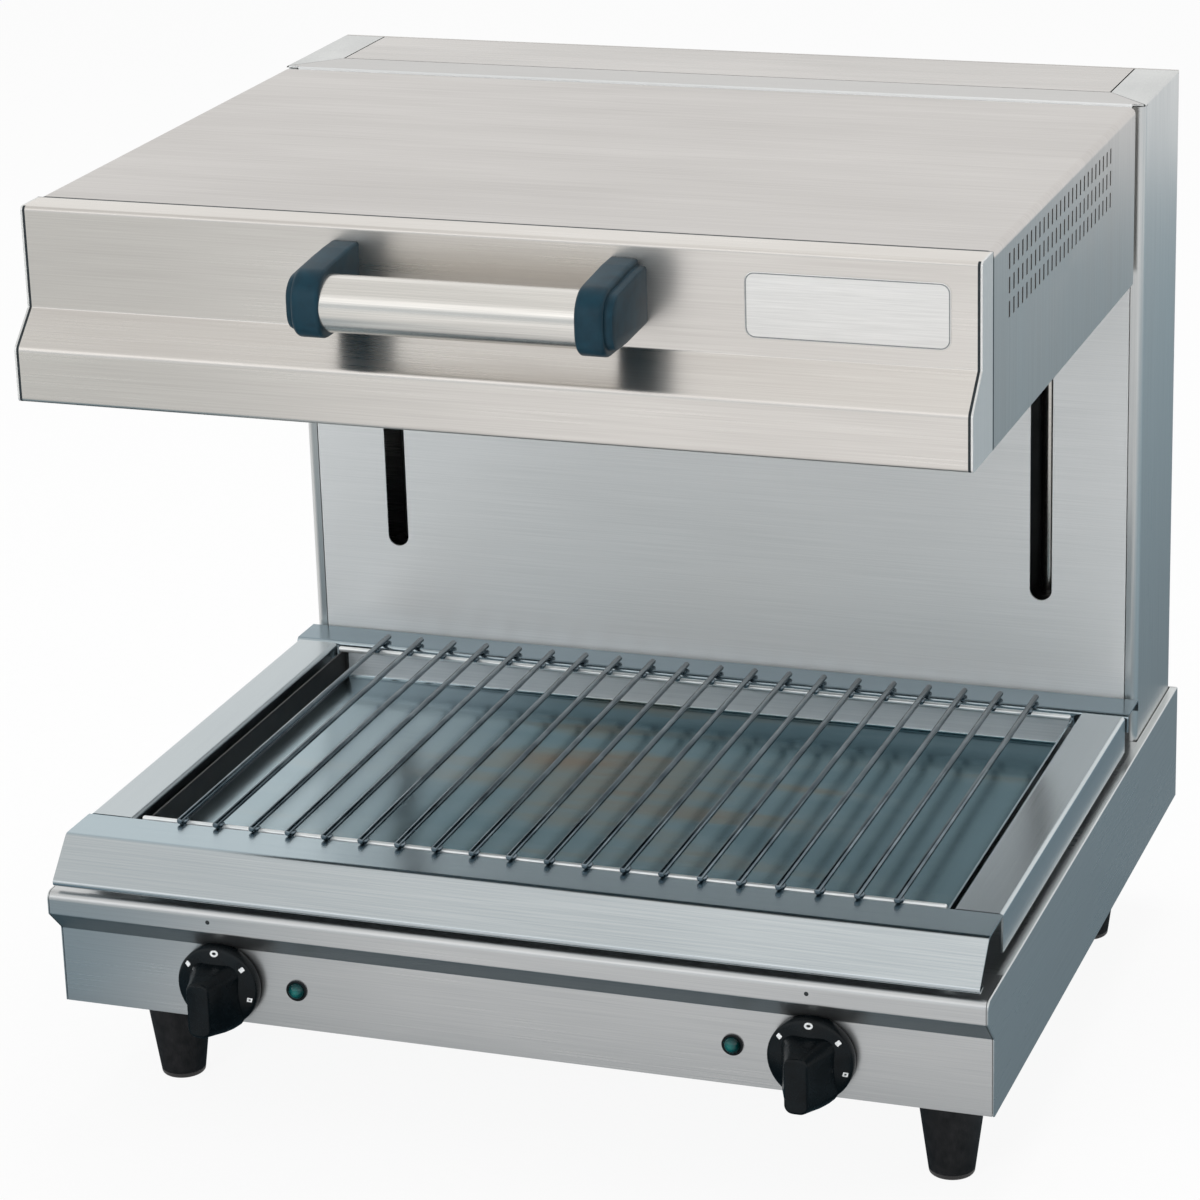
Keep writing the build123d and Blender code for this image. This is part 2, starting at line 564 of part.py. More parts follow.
# Counterweight slab with a tongue at each end, and the two channels that guide it.
weight_mid = (WEIGHT_Y0 + WEIGHT_Y1) / 2
counterweight = block(-WEIGHT_HALF, WEIGHT_HALF, WEIGHT_Y0, WEIGHT_Y1, WEIGHT_Z0, WEIGHT_Z1)
for x0 in (-WEIGHT_HALF - 8, WEIGHT_HALF):
    counterweight += block(x0, x0 + 8, weight_mid - 5, weight_mid + 5, WEIGHT_Z0, WEIGHT_Z1)
parts["counterweight"] = counterweight
channel_path = [
    (WEIGHT_HALF + 2, weight_mid - 5.8),
    (WEIGHT_HALF + 11, weight_mid - 5.8),
    (WEIGHT_HALF + 11, REAR_Y - SHEET),
    (WEIGHT_HALF + 28, REAR_Y - SHEET),
]
guide = along_z(sheet_face(channel_path, -1, 1.5, 1.0), WEIGHT_Z0 - 20, PULLEY_Z)
guide += block(
    WEIGHT_HALF + 2, WEIGHT_HALF + 11.5, weight_mid + 5.8, weight_mid + 7.3, WEIGHT_Z0 - 20, PULLEY_Z
)
parts["weight_guides"] = [guide, mirrored(guide)]

# Hood cover: one sheet folded over the top and both sides, with rows of vent slots in the sides.
cover_path = [
    (HOOD_HALF, HOOD_BOTTOM),
    (HOOD_HALF, HOOD_TOP),
    (-HOOD_HALF, HOOD_TOP),
    (-HOOD_HALF, HOOD_BOTTOM),
]
hood_cover = along_y(sheet_face(cover_path, 1, SHEET, 3.0), HOOD_CAP_Y + HOOD_SEAM, HOOD_REAR_Y)
vents = []
for row in range(VENT_ROWS):
    for col in range(VENT_COLS):
        y0 = VENT_Y0 + col * VENT_PITCH_Y - VENT_W / 2
        z0 = VENT_Z0 + row * VENT_PITCH_Z
        vents.append(block(-HOOD_HALF - 5, HOOD_HALF + 5, y0, y0 + VENT_W, z0, z0 + VENT_H))
hood_cover -= vents
parts["hood_cover"] = hood_cover

# Hood front: top flange, upper face, slope, lower band and bottom return, with a lap strip at the top.
front_skin = [
    (HOOD_CAP_Y, HOOD_TOP),
    (HOOD_FACE_Y, HOOD_TOP),
    (HOOD_FACE_Y, HOOD_KINK_HIGH),
    (HOOD_BAND_Y, HOOD_KINK_LOW),
    (HOOD_BAND_Y, HOOD_BOTTOM),
    (HOOD_CAP_Y - 5, HOOD_BOTTOM),
]
front_bends = [0, BEND_R, BEND_R, SOFT_BEND_R, BEND_R, 0]
hood_front = along_x(sheet_face(front_skin, 1, SHEET, front_bends), -CAP_IN, CAP_IN)
lap_z = HOOD_TOP - 2 * SHEET
hood_front += block(-CAP_IN + 6, CAP_IN - 6, HOOD_CAP_Y - 12, HOOD_CAP_Y + 12, lap_z, lap_z + SHEET)
parts["hood_front_panel"] = hood_front

# Hood end caps: flat cheeks that close the ends of the front panel.
cap_outline = [
    (HOOD_CAP_Y, HOOD_TOP),
    (HOOD_FACE_Y, HOOD_TOP),
    (HOOD_FACE_Y, HOOD_KINK_HIGH),
    (HOOD_BAND_Y, HOOD_KINK_LOW),
    (HOOD_BAND_Y, HOOD_BOTTOM),
    (HOOD_CAP_Y, HOOD_BOTTOM),
]
cap_radii = [0, BEND_R + SHEET, BEND_R, SOFT_BEND_R + SHEET, BEND_R + SHEET, 0]
pair("hood_end_cap", along_x(rounded_face(cap_outline, cap_radii), CAP_IN, HOOD_HALF))

# Hood rear panel.
rear_outline = [
    (-CAP_IN, HOOD_BOTTOM + 2),
    (-CAP_IN, HOOD_TOP - SHEET),
    (CAP_IN, HOOD_TOP - SHEET),
    (CAP_IN, HOOD_BOTTOM + 2),
]
rear_face = rounded_face(rear_outline, [0, 3.2, 3.2, 0])
parts["hood_rear_panel"] = along_y(rear_face, HOOD_REAR_Y - SHEET, HOOD_REAR_Y)

# Reflector: an inverted pan with an outward flange, under the insulation.
flange_z = HOOD_BOTTOM + SHEET
reflector = block(-REFLECT_HALF, REFLECT_HALF, REFLECT_Y0, REFLECT_Y1, flange_z, REFLECT_Z + SHEET)
reflector += block(-CAP_IN, CAP_IN, HOOD_BAND_Y + 12, HOOD_REAR_Y - SHEET, flange_z, flange_z + SHEET)
reflect_in = REFLECT_HALF - SHEET
reflector -= block(-reflect_in, reflect_in, REFLECT_Y0 + SHEET, REFLECT_Y1 - SHEET, flange_z - 5, REFLECT_Z)

# Heating elements: one tube for each half, folded in six legs, with ends that rise through the reflector.
turn_r = LEG_PITCH / 2
centre_line = [Line((LEG_X0, LEG_REAR, ELEMENT_Z), (LEG_X0, LEG_FRONT, ELEMENT_Z))]
for i in range(5):
    x0 = LEG_X0 + LEG_PITCH * i
    x1 = x0 + LEG_PITCH
    turn_y = LEG_FRONT if i % 2 == 0 else LEG_REAR
    bulge = turn_y - turn_r if i % 2 == 0 else turn_y + turn_r
    other_y = LEG_REAR if i % 2 == 0 else LEG_FRONT
    turn_mid = (x0 + turn_r, bulge, ELEMENT_Z)
    centre_line.append(ThreePointArc((x0, turn_y, ELEMENT_Z), turn_mid, (x1, turn_y, ELEMENT_Z)))
    centre_line.append(Line((x1, turn_y, ELEMENT_Z), (x1, other_y, ELEMENT_Z)))
ends = []
for x in (LEG_X0, LEG_X0 + 5 * LEG_PITCH):
    lift_y = LEG_REAR + LEG_RISE
    low = (x, LEG_REAR, ELEMENT_Z)
    high = (x, lift_y, ELEMENT_Z + LEG_RISE)
    knee = (x, LEG_REAR + LEG_RISE * math.sqrt(0.5), ELEMENT_Z + LEG_RISE * (1 - math.sqrt(0.5)))
    ends.append(ThreePointArc(low, knee, high))
    ends.append(Line(high, (x, lift_y, TERMINAL_Z)))
    reflector -= rod_z(6.0, x, lift_y, REFLECT_Z - 10, REFLECT_Z + 10)
    reflector -= rod_z(6.0, -x, lift_y, REFLECT_Z - 10, REFLECT_Z + 10)
element_path = Wire(ends[:2] + centre_line + ends[2:])
section = Plane(origin=(LEG_X0, LEG_REAR + LEG_RISE, TERMINAL_Z), z_dir=(0, 0, -1)) * Circle(ELEMENT_R)
element = sweep(section, path=element_path)
pair("heating_element", element)
parts["reflector"] = reflector
bars = []
bar_top = ELEMENT_Z - ELEMENT_R - 0.25
for y in (LEG_FRONT + 45, (LEG_FRONT + LEG_REAR) / 2, LEG_REAR - 45):
    bars.append(block(-reflect_in, reflect_in, y - 5, y + 5, bar_top - 3.1, bar_top))
parts["element_supports"] = bars

# Mineral wool pad on the reflector.
pad_half = REFLECT_HALF - 12
parts["insulation_pad"] = block(
    -pad_half, pad_half, REFLECT_Y0 + 4, LEG_REAR - 10, REFLECT_Z + SHEET, REFLECT_Z + 45
)

# Handle: moulded brackets on the upper face and a tube between them.
bracket_outline = [
    (HOOD_FACE_Y, HOOD_TOP - 9),
    (HOOD_FACE_Y - 15, HOOD_TOP - 9.5),
    (FRONT_Y, TUBE_Z + 19.0),
    (FRONT_Y, TUBE_Z - 19.5),
    (TUBE_Y + 12.0, TUBE_Z - 19.5),
    (HOOD_FACE_Y, TUBE_Z - 17.5),
]
bracket = along_x(rounded_face(bracket_outline, [0, 10, 17, 15, 14, 0]), BRACKET_IN, BRACKET_OUT - CHEEK_T)
cheek_outline = [
    (HOOD_FACE_Y - 1, HOOD_TOP - 12.5),
    (HOOD_FACE_Y - 15, HOOD_TOP - 13),
    (FRONT_Y + 4.0, TUBE_Z + 15.5),
    (FRONT_Y + 4.0, TUBE_Z - 16.0),
    (TUBE_Y + 12.0, TUBE_Z - 16.0),
    (HOOD_FACE_Y - 1, TUBE_Z - 14.0),
]
cheek = along_x(rounded_face(cheek_outline, [4, 8, 14, 12, 12, 4]), BRACKET_OUT - CHEEK_T, BRACKET_OUT)
cheek = chamfer(cheek.faces().sort_by(Axis.X)[-1].edges(), 2.0)
bracket += cheek
bracket -= rod_x(TUBE_R + 0.1, BRACKET_IN - 5, BRACKET_IN + TUBE_SEAT, TUBE_Y, TUBE_Z)
pair("handle_bracket", bracket)
tube_half = BRACKET_IN + TUBE_SEAT
tube = rod_x(TUBE_R, -tube_half, tube_half, TUBE_Y, TUBE_Z)
tube -= rod_x(TUBE_R - 1.5, -tube_half - 5, tube_half + 5, TUBE_Y, TUBE_Z)
parts["handle_tube"] = tube

# Write one file for each named piece.
os.makedirs("parts", exist_ok=True)
for name, shape in parts.items():
    solids = []
    for piece in shape if isinstance(shape, list) else [shape]:
        solids += piece.solids()
    body = solids[0] if len(solids) == 1 else Compound(children=solids)
    body.label = name
    export_step(body, "parts/" + name + ".step")
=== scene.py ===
import math

import bmesh
import bpy
from mathutils import Matrix, Vector


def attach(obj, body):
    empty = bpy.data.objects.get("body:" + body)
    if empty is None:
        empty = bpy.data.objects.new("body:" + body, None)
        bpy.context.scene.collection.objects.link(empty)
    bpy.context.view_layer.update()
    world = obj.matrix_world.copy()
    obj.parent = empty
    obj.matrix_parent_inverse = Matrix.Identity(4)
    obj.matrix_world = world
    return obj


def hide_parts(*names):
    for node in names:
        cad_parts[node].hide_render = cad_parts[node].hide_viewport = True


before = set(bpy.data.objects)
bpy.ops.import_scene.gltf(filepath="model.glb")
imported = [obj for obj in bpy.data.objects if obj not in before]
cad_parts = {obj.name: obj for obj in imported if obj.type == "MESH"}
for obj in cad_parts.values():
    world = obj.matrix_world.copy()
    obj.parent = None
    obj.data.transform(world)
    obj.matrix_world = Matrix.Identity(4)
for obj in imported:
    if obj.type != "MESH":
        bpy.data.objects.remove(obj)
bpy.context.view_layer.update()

# Feet: four tapered cups that lift the grill off the counter, each screwed up into the base floor.
# They are moulded in a hard charcoal rubber compound, round and plain, with softened rims.


def linear(hex_code):
    """sRGB hex text to the linear colour that a shader takes."""
    parts = [int(hex_code[i:i + 2], 16) / 255 for i in (1, 3, 5)]
    return [c / 12.92 if c <= 0.04045 else ((c + 0.055) / 1.055) ** 2.4 for c in parts] + [1.0]


def add(tree, kind, values=None, stops=None, **settings):
    """Adds one shader node with its options and colour stops, and sets or links its inputs."""
    node = tree.nodes.new(kind)
    for key, value in settings.items():
        setattr(node, key, value)
    for key, value in (values or {}).items():
        if isinstance(value, bpy.types.Node):
            value = value.outputs[0]
        if isinstance(value, bpy.types.NodeSocket):
            tree.links.new(value, node.inputs[key])
        else:
            node.inputs[key].default_value = value
    for i, (place, tone) in enumerate(stops or []):
        if i:
            element = node.color_ramp.elements.new(place)
        else:
            node.color_ramp.elements.remove(node.color_ramp.elements[1])
            element = node.color_ramp.elements[0]
            element.position = place
        element.color = linear(tone)
    return node


def new_material(name):
    """An empty material, its node tree, and the piece's own coordinates in metres for its patterns."""
    material = bpy.data.materials.new(name)
    material.use_nodes = True
    material.node_tree.nodes.clear()
    return material, material.node_tree, add(material.node_tree, "ShaderNodeTexCoord").outputs["Object"]


def dress(material, *nodes):
    """Gives CAD nodes their finish."""
    for name in nodes:
        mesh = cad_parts[name].data
        mesh.materials.clear()
        mesh.materials.append(material)


def mottled(name, dark, light, patch, detail, surface, bump=None, grain=None):
    """A finish that wanders between two tones, in patches of a size in mm with layers of finer detail.

    bump is the strength and the depth in mm of its relief, which follows the patches, or a finer grain in mm.
    """
    material, tree, spot = new_material(name)
    patches = add(tree, "ShaderNodeTexNoise", {"Vector": spot, "Scale": 1000 / patch, "Detail": detail})
    tone = add(tree, "ShaderNodeValToRGB", {"Fac": patches}, [(0.3, dark), (0.7, light)])
    values = {"Base Color": tone, **surface}
    if bump:
        strength, depth = bump
        relief = patches
        if grain:
            relief = add(tree, "ShaderNodeTexNoise", {"Vector": spot, "Scale": 1000 / grain, "Detail": 2.0})
        raised = {"Height": relief, "Strength": strength, "Distance": depth / 1000}
        values["Normal"] = add(tree, "ShaderNodeBump", raised)
    shader = add(tree, "ShaderNodeBsdfPrincipled", values)
    add(tree, "ShaderNodeOutputMaterial", {"Surface": shader})
    return material


# Moulded charcoal rubber: near black and dull, with a faint grey bloom in patches and a fine grit.
dull = {"Roughness": 0.55}
foot_rubber = mottled(
    "moulded_charcoal_rubber", "#151414", "#242223", 6, 4, dull, bump=(0.15, 0.3), grain=0.9)
dress(foot_rubber, "foot_front_left", "foot_front_right", "foot_rear_left", "foot_rear_right")

# Base box: two flat sides with a narrow top flange, a floor folded up at the rear, and the deck.
# All are 1.2 mm stainless sheet, cut and folded, with the belt-brushed finish of the mill left on.

# A Mix node takes its two colours in sockets 6 and 7, and gives the mixed one in socket 2.
first_colour, second_colour, mixed_colour = 6, 7, 2


def brushed_stainless(name, along, dark, light, roughness, spread=0.5, metallic=1.0, upper=None, joint=None):
    """Stainless sheet, belt-brushed: pale, with long fine streaks that draw reflections out across them.

    along names the axis of the brush lines, or two axes for a sheet that is folded over an edge.
    spread is how strongly they draw reflections out.
    upper is a darker tone painted on the faces that look up, as painted shade for the shade and dark
    reflections that fall on them.
    joint is the Y of a butt joint, along which a dark painted shadow line runs.
    """
    material, tree, spot = new_material(name)
    # Brush lines are about 0.1 mm wide and 90 mm long. They are drawn 0.8 mm wide so that they show.
    fine = [1 / 0.09 if axis in along else 1 / 0.0008 for axis in "XYZ"]
    stretched = add(tree, "ShaderNodeMapping", {"Vector": spot, "Scale": fine})
    lines = add(tree, "ShaderNodeTexNoise", {"Vector": stretched, "Scale": 1.0, "Detail": 3.0})
    # Faint clouding from the rolling and handling of the sheet, about 60 mm across and 250 mm along it.
    wide = [1 / 0.25 if axis in along else 1 / 0.06 for axis in "XYZ"]
    drawn = add(tree, "ShaderNodeMapping", {"Vector": spot, "Scale": wide})
    cloud = add(tree, "ShaderNodeTexNoise", {"Vector": drawn, "Scale": 1.0, "Detail": 2.0})
    blend = add(tree, "ShaderNodeMix", {"Factor": 0.4, "A": lines, "B": cloud})
    tone = add(tree, "ShaderNodeValToRGB", {"Fac": blend}, [(0.3, dark), (0.7, light)])
    # Painted shade: faces that look up are blended towards the darker upper tone, standing in for shade.
    if upper:
        normal = add(tree, "ShaderNodeTexCoord").outputs["Normal"]
        side = add(tree, "ShaderNodeSeparateXYZ", {"Vector": normal})
        level = {"Value": side.outputs["Z"], "From Min": 0.8, "From Max": 0.98, "To Max": 0.85}
        tone_mask = add(tree, "ShaderNodeMapRange", level)
        dulled = {"Factor": tone_mask, first_colour: tone, second_colour: linear(upper)}
        tone = add(tree, "ShaderNodeMix", dulled, data_type="RGBA").outputs[mixed_colour]
    # Painted shadow: a dark band about 3 mm wide along the joint stands in for the shade in its gap.
    if joint is not None:
        place = add(tree, "ShaderNodeSeparateXYZ", {"Vector": spot})
        gap = add(tree, "ShaderNodeMath", {0: place.outputs["Y"], 1: joint}, operation="SUBTRACT")
        off = add(tree, "ShaderNodeMath", {0: gap}, operation="ABSOLUTE")
        edge = {"Value": off, "From Min": 0.0011, "From Max": 0.0016, "To Min": 0.9, "To Max": 0.0}
        joint_shadow = add(tree, "ShaderNodeMapRange", edge)
        joint_shadowed = {"Factor": joint_shadow, first_colour: tone, second_colour: linear("#27363D")}
        tone = add(tree, "ShaderNodeMix", joint_shadowed, data_type="RGBA").outputs[mixed_colour]
    limits = {"From Min": 0.3, "From Max": 0.7, "To Min": roughness + 0.05, "To Max": roughness - 0.05}
    gloss = add(tree, "ShaderNodeMapRange", {"Value": blend, **limits})
    scratch = add(tree, "ShaderNodeBump", {"Height": lines, "Strength": 0.07, "Distance": 0.0002})
    turn = add(tree, "ShaderNodeTangent", direction_type="RADIAL", axis=along[0])
    metal = {"Base Color": tone, "Metallic": metallic, "Roughness": gloss, "Normal": scratch}
    shader = add(tree, "ShaderNodeBsdfPrincipled", {**metal, "Anisotropic": spread, "Tangent": turn})
    add(tree, "ShaderNodeOutputMaterial", {"Surface": shader})
    return material


base_side_sheet = brushed_stainless("brushed_stainless_base_side", "Y", "#C3C7C8", "#D6D9D9", 0.3)
base_sheet = brushed_stainless("brushed_stainless_base", "X", "#C6C8C9", "#D9DADA", 0.3)
dress(base_side_sheet, "base_side_left", "base_side_right")
dress(base_sheet, "base_floor", "base_deck")

# Control panel: one folded sheet that closes the base in front and overhangs in a lip, brushed along.
# On the lip, over each knob, a small black dot is screen-printed as the pointer of its scale.


def lathe(shape, outline, matrix, steps=32):
    """Turns an outline of (radius, height) points about local Z, and moves it by a matrix. Units are mm."""
    rings = []
    for radius, height in outline:
        if radius < 1e-6:
            rings.append([shape.verts.new(matrix @ Vector((0, 0, height)))] * steps)
            continue
        ring = []
        for i in range(steps):
            angle = 2 * math.pi * i / steps
            point = Vector((radius * math.cos(angle), radius * math.sin(angle), height))
            ring.append(shape.verts.new(matrix @ point))
        rings.append(ring)
    for lower, upper in zip(rings, rings[1:]):
        for i in range(steps):
            j = (i + 1) % steps
            corners = list(dict.fromkeys((lower[i], lower[j], upper[j], upper[i])))
            if len(corners) > 2:
                shape.faces.new(corners)


def facing(direction, x, y, z):
    """Matrix that turns local Z to a direction and moves the origin to a point."""
    return Matrix.Translation((x, y, z)) @ Vector(direction).to_track_quat("Z", "Y").to_matrix().to_4x4()


def put(name, shape, body, slot, *finishes, crease=35):
    """Makes a piece of a mesh drawn in mm: smooth but for its creases, and moving with a body."""
    shape.transform(Matrix.Scale(0.001, 4))
    bmesh.ops.recalc_face_normals(shape, faces=shape.faces)
    mesh = bpy.data.meshes.new(name)
    shape.to_mesh(mesh)
    shape.free()
    for finish in finishes:
        mesh.materials.append(finish)
    mesh.shade_smooth()
    mesh.set_sharp_from_angle(angle=math.radians(crease))
    piece = bpy.data.objects.new(name, mesh)
    bpy.context.scene.collection.objects.link(piece)
    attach(piece, body)
    return piece


dress(base_sheet, "control_panel")
# Screen-printed enamel ink: flat black with slightly uneven cover.
print_ink = mottled("screen_printed_black_ink", "#0E1416", "#20282B", 0.5, 3, {"Roughness": 0.5})
dot_outline = [(0, 0.16), (1.1, 0.15), (1.4, 0.02), (1.4, -0.1)]
dot_x, lip_face_y, dot_z = 191, -243, 148
for side, sign in (("left", -1), ("right", 1)):
    dot = bmesh.new()
    lathe(dot, dot_outline, facing((0, -1, 0), sign * dot_x, lip_face_y, dot_z), steps=20)
    put("index_dot_" + side, dot, "base", "knob_plastic", print_ink)

# Rotary switches behind the panel, and the spindles that carry the knobs.
# The switch bodies are moulded in brown-black phenolic, and the spindles are turned and nickel-plated.


def plated(name, dark, light, patch, polished, dulled, metallic=1.0):
    """Plated metal between two tones and two roughnesses, which change in patches of a size in mm."""
    material, tree, spot = new_material(name)
    tone_mask = add(tree, "ShaderNodeTexNoise", {"Vector": spot, "Scale": 1000 / patch, "Detail": 3.0})
    tone = add(tree, "ShaderNodeValToRGB", {"Fac": tone_mask}, [(0.3, dark), (0.7, light)])
    gloss = add(tree, "ShaderNodeMapRange", {"Value": tone_mask, "To Min": polished, "To Max": dulled})
    metal = {"Base Color": tone, "Metallic": metallic, "Roughness": gloss}
    shader = add(tree, "ShaderNodeBsdfPrincipled", metal)
    add(tree, "ShaderNodeOutputMaterial", {"Surface": shader})
    return material


# Phenolic moulding: dark, low gloss, with a faint brown mottle from its wood-flour filler.
phenolic = mottled("moulded_phenolic", "#1C1613", "#352A23", 2, 5, {"Roughness": 0.5})
dress(phenolic, "switch_left", "switch_right")
# Nickel-plated steel: bright and slightly warm, with a fine mottle from turning that softens reflections.
nickel = plated("nickel_plated_turned_steel", "#B9B7B1", "#D2D0CA", 1.2, 0.12, 0.28)
dress(nickel, "spindle_left", "spindle_right")

# Knobs: a dished round skirt with a tall straight finger grip that stands out from it.
# Each is one moulding in glossy black thermoset, pushed on the spindle, with a filled white scale.


def loft(shape, loops, capped=True):
    """Skins a list of point loops, each with the same count, and may close both ends with a cap."""
    rows = [[shape.verts.new(point) for point in loop] for loop in loops]
    for lower, upper in zip(rows, rows[1:]):
        for i in range(len(lower)):
            j = (i + 1) % len(lower)
            shape.faces.new((lower[i], lower[j], upper[j], upper[i]))
    if capped:
        shape.faces.new(rows[0][::-1])
        shape.faces.new(rows[-1])


def rounded_rectangle(width, height, radius, corner_steps=6):
    """Points round a rectangle with rounded corners, centred on the origin."""
    points = []
    for cx, cy, start in ((1, 1, 0), (-1, 1, 90), (-1, -1, 180), (1, -1, 270)):
        for i in range(corner_steps + 1):
            angle = math.radians(start + 90 * i / corner_steps)
            x = cx * (width / 2 - radius) + radius * math.cos(angle)
            y = cy * (height / 2 - radius) + radius * math.sin(angle)
            points.append((x, y))
    return points


# Moulded black thermoset: deep blue-black and glossy, with slight waviness from the mould.
knob_black, tree, spot = new_material("moulded_black_thermoset")
flow = add(tree, "ShaderNodeTexNoise", {"Vector": spot, "Scale": 1 / 0.009, "Detail": 3.0})
tone = add(tree, "ShaderNodeValToRGB", {"Fac": flow}, [(0.3, "#050A0D"), (0.7, "#0A1216")])
smear = add(tree, "ShaderNodeMapRange", {"Value": flow, "To Min": 0.2, "To Max": 0.34})
wave = add(tree, "ShaderNodeBump", {"Height": flow, "Strength": 0.05, "Distance": 0.0005})
deep = {"Base Color": tone, "Roughness": smear, "IOR": 1.5, "Specular IOR Level": 0.18, "Normal": wave}
shader = add(tree, "ShaderNodeBsdfPrincipled", deep)
add(tree, "ShaderNodeOutputMaterial", {"Surface": shader})
# Filled white marks: soft white paint wiped into the moulding, a little grey where it is thin.
scale_white = mottled("wiped_white_paint", "#C9CDCF", "#F4F6F6", 0.8, 2, {"Roughness": 0.45})
# The knobs' axes: how far each is from the middle, where the skirt begins, and the height.
knob_spread, knob_y, knob_z = 190.5, -233, 102
skirt_outline = [
    (3.1, -4.2), (25.9, -4.2), (26.4, -3.9), (26.5, -3.3), (26.5, 2.5), (26.1, 3.3), (25.2, 3.9), (24.0, 4.4),
    (17.5, 6.7), (11.0, 9.0), (6.0, 9.7), (0, 10.0),
]
# Each section of the grip: its depth, width, height, shift from the axis and corner radius.
grip_sections = (
    (-236.0, 35.0, 43.0, -4.6, 9.0), (-241.0, 31.5, 42.6, -4.9, 8.4), (-248.0, 26.0, 41.0, -5.0, 7.6),
    (-256.0, 19.6, 38.6, -4.5, 6.4), (-263.4, 15.2, 36.2, -3.9, 5.4), (-264.7, 14.6, 35.6, -3.8, 5.2),
    (-265.4, 13.7, 34.7, -3.7, 4.8), (-265.8, 12.4, 33.4, -3.7, 4.2), (-266.0, 10.8, 31.8, -3.7, 3.4),
)
# The marks lie on the coned part of the skirt, round a circle, and stand a little proud of it.
scale_radius, scale_y, cone_angle = 22.9, -237.85, -19
mark_face, mark_foot = -0.12, 0.3
ring_half_width, ring_half_height = 2.7, 2.0
square_width, square_height, square_corner = 2.8, 3.2, 0.4
for side, sign in (("left", -1), ("right", 1)):
    knob_x = sign * knob_spread
    knob = bmesh.new()
    lathe(knob, skirt_outline, facing((0, -1, 0), knob_x, knob_y, knob_z), steps=64)
    grip_loops = []
    for depth, width, height, shift, corner in grip_sections:
        ring = rounded_rectangle(width, height, corner)
        grip_loops.append([(knob_x + px, depth, knob_z + shift + pz) for px, pz in ring])
    loft(knob, grip_loops)
    turned = put("knob_moulding_" + side, knob, "knob_" + side, "knob_plastic", knob_black)
    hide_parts("knob_" + side)
    marks = bmesh.new()
    for angle, kind in ((0, "ring"), (52, "square"), (104, "frame"), (-52, "square")):
        tilt = Matrix.Rotation(math.radians(angle), 4, "Y")
        lean = Matrix.Rotation(math.radians(cone_angle), 4, "X")
        middle = Matrix.Translation((knob_x, scale_y, knob_z))
        seat = middle @ tilt @ Matrix.Translation((0, 0, scale_radius)) @ lean
        if kind == "ring":
            turns = [step * math.pi / 12 for step in range(24)]
            outer = [(ring_half_width * math.cos(a), ring_half_height * math.sin(a)) for a in turns]
            inner = [(px * 0.5, pz * 0.45) for px, pz in outer]
        else:
            outer = rounded_rectangle(square_width, square_height, square_corner, corner_steps=5)
            share = 0.4 if kind == "frame" else 0.02
            inner = [(px * share, pz * share) for px, pz in outer]
        loops = []
        for ring, rise in ((outer, mark_foot), (outer, mark_face), (inner, mark_face), (inner, mark_foot)):
            loops.append([seat @ Vector((px, rise, pz)) for px, pz in ring])
        loft(marks, loops, capped=False)
    put("knob_scale_" + side, marks, "knob_" + side, "knob_plastic", scale_white)

# Pilot lamps: a slim dark bezel pushed through the panel and a domed green lens that fills it.
# The lens is moulded in tinted polycarbonate, and the bezel in the same black thermoset as the knobs.
# Tinted polycarbonate: clear deep green and glossy, with a painted highlight near the middle and painted
# shade darkening towards the rim.
green_lens, tree, spot = new_material("tinted_polycarbonate_lens")
place = add(tree, "ShaderNodeSeparateXYZ", {"Vector": spot})
either = add(tree, "ShaderNodeMath", {0: place.outputs["X"]}, operation="ABSOLUTE")
flat = add(tree, "ShaderNodeCombineXYZ", {"X": either, "Z": place.outputs["Z"]})
# Painted highlight: the dome is painted lightest a little above its middle, on the side of the other lamp,
# and painted darker out to the rim.
from_highlight_spot = {0: flat, 1: (0.1398, 0.0, 0.1026)}
away = add(tree, "ShaderNodeVectorMath", from_highlight_spot, operation="DISTANCE").outputs["Value"]
reach = add(tree, "ShaderNodeMapRange", {"Value": away, "From Max": 0.0058})
flow = add(tree, "ShaderNodeTexNoise", {"Vector": spot, "Scale": 1 / 0.003, "Detail": 2.0})
depth = add(tree, "ShaderNodeMix", {"Factor": 0.2, "A": reach, "B": flow})
lens_shading_tones = [(0.1, "#0F706C"), (0.55, "#0A4647"), (0.9, "#03191A")]
tone = add(tree, "ShaderNodeValToRGB", {"Fac": depth}, lens_shading_tones)
clear = {"Roughness": 0.1, "IOR": 1.58, "Transmission Weight": 0.1, "Specular IOR Level": 0.3}
shader = add(tree, "ShaderNodeBsdfPrincipled", {"Base Color": tone, **clear})
add(tree, "ShaderNodeOutputMaterial", {"Surface": shader})
domes = bmesh.new()
dome_outline = [
    (0, 5.2), (1.4, 5.05), (2.7, 4.55), (3.8, 3.7), (4.7, 2.5), (5.2, 1.2), (5.3, 0.4), (5.3, -3.6),
    (0, -3.8),
]
lamp_spread, lamp_y, lamp_z = 140.5, -228, 102
for sign in (-1, 1):
    lathe(domes, dome_outline, facing((0, -1, 0), sign * lamp_spread, lamp_y, lamp_z), steps=40)
lens_domes = put("pilot_lamp_domes", domes, "base", "lamp_lens", green_lens)
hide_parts("lamp_lenses")
dress(knob_black, "lamp_bezels")

# Terminal block and cable gland at the rear of the base floor, for the mains lead.
# Both are moulded in pale grey nylon, and the gland's nut is hexagonal.
# Moulded nylon: waxy pale grey with a faint mottle and low gloss.
waxy = {"Roughness": 0.42, "Subsurface Weight": 0.05}
nylon = mottled("moulded_grey_nylon", "#8D8F8B", "#A6A8A3", 3, 4, waxy)
dress(nylon, "terminal_block", "cable_gland")
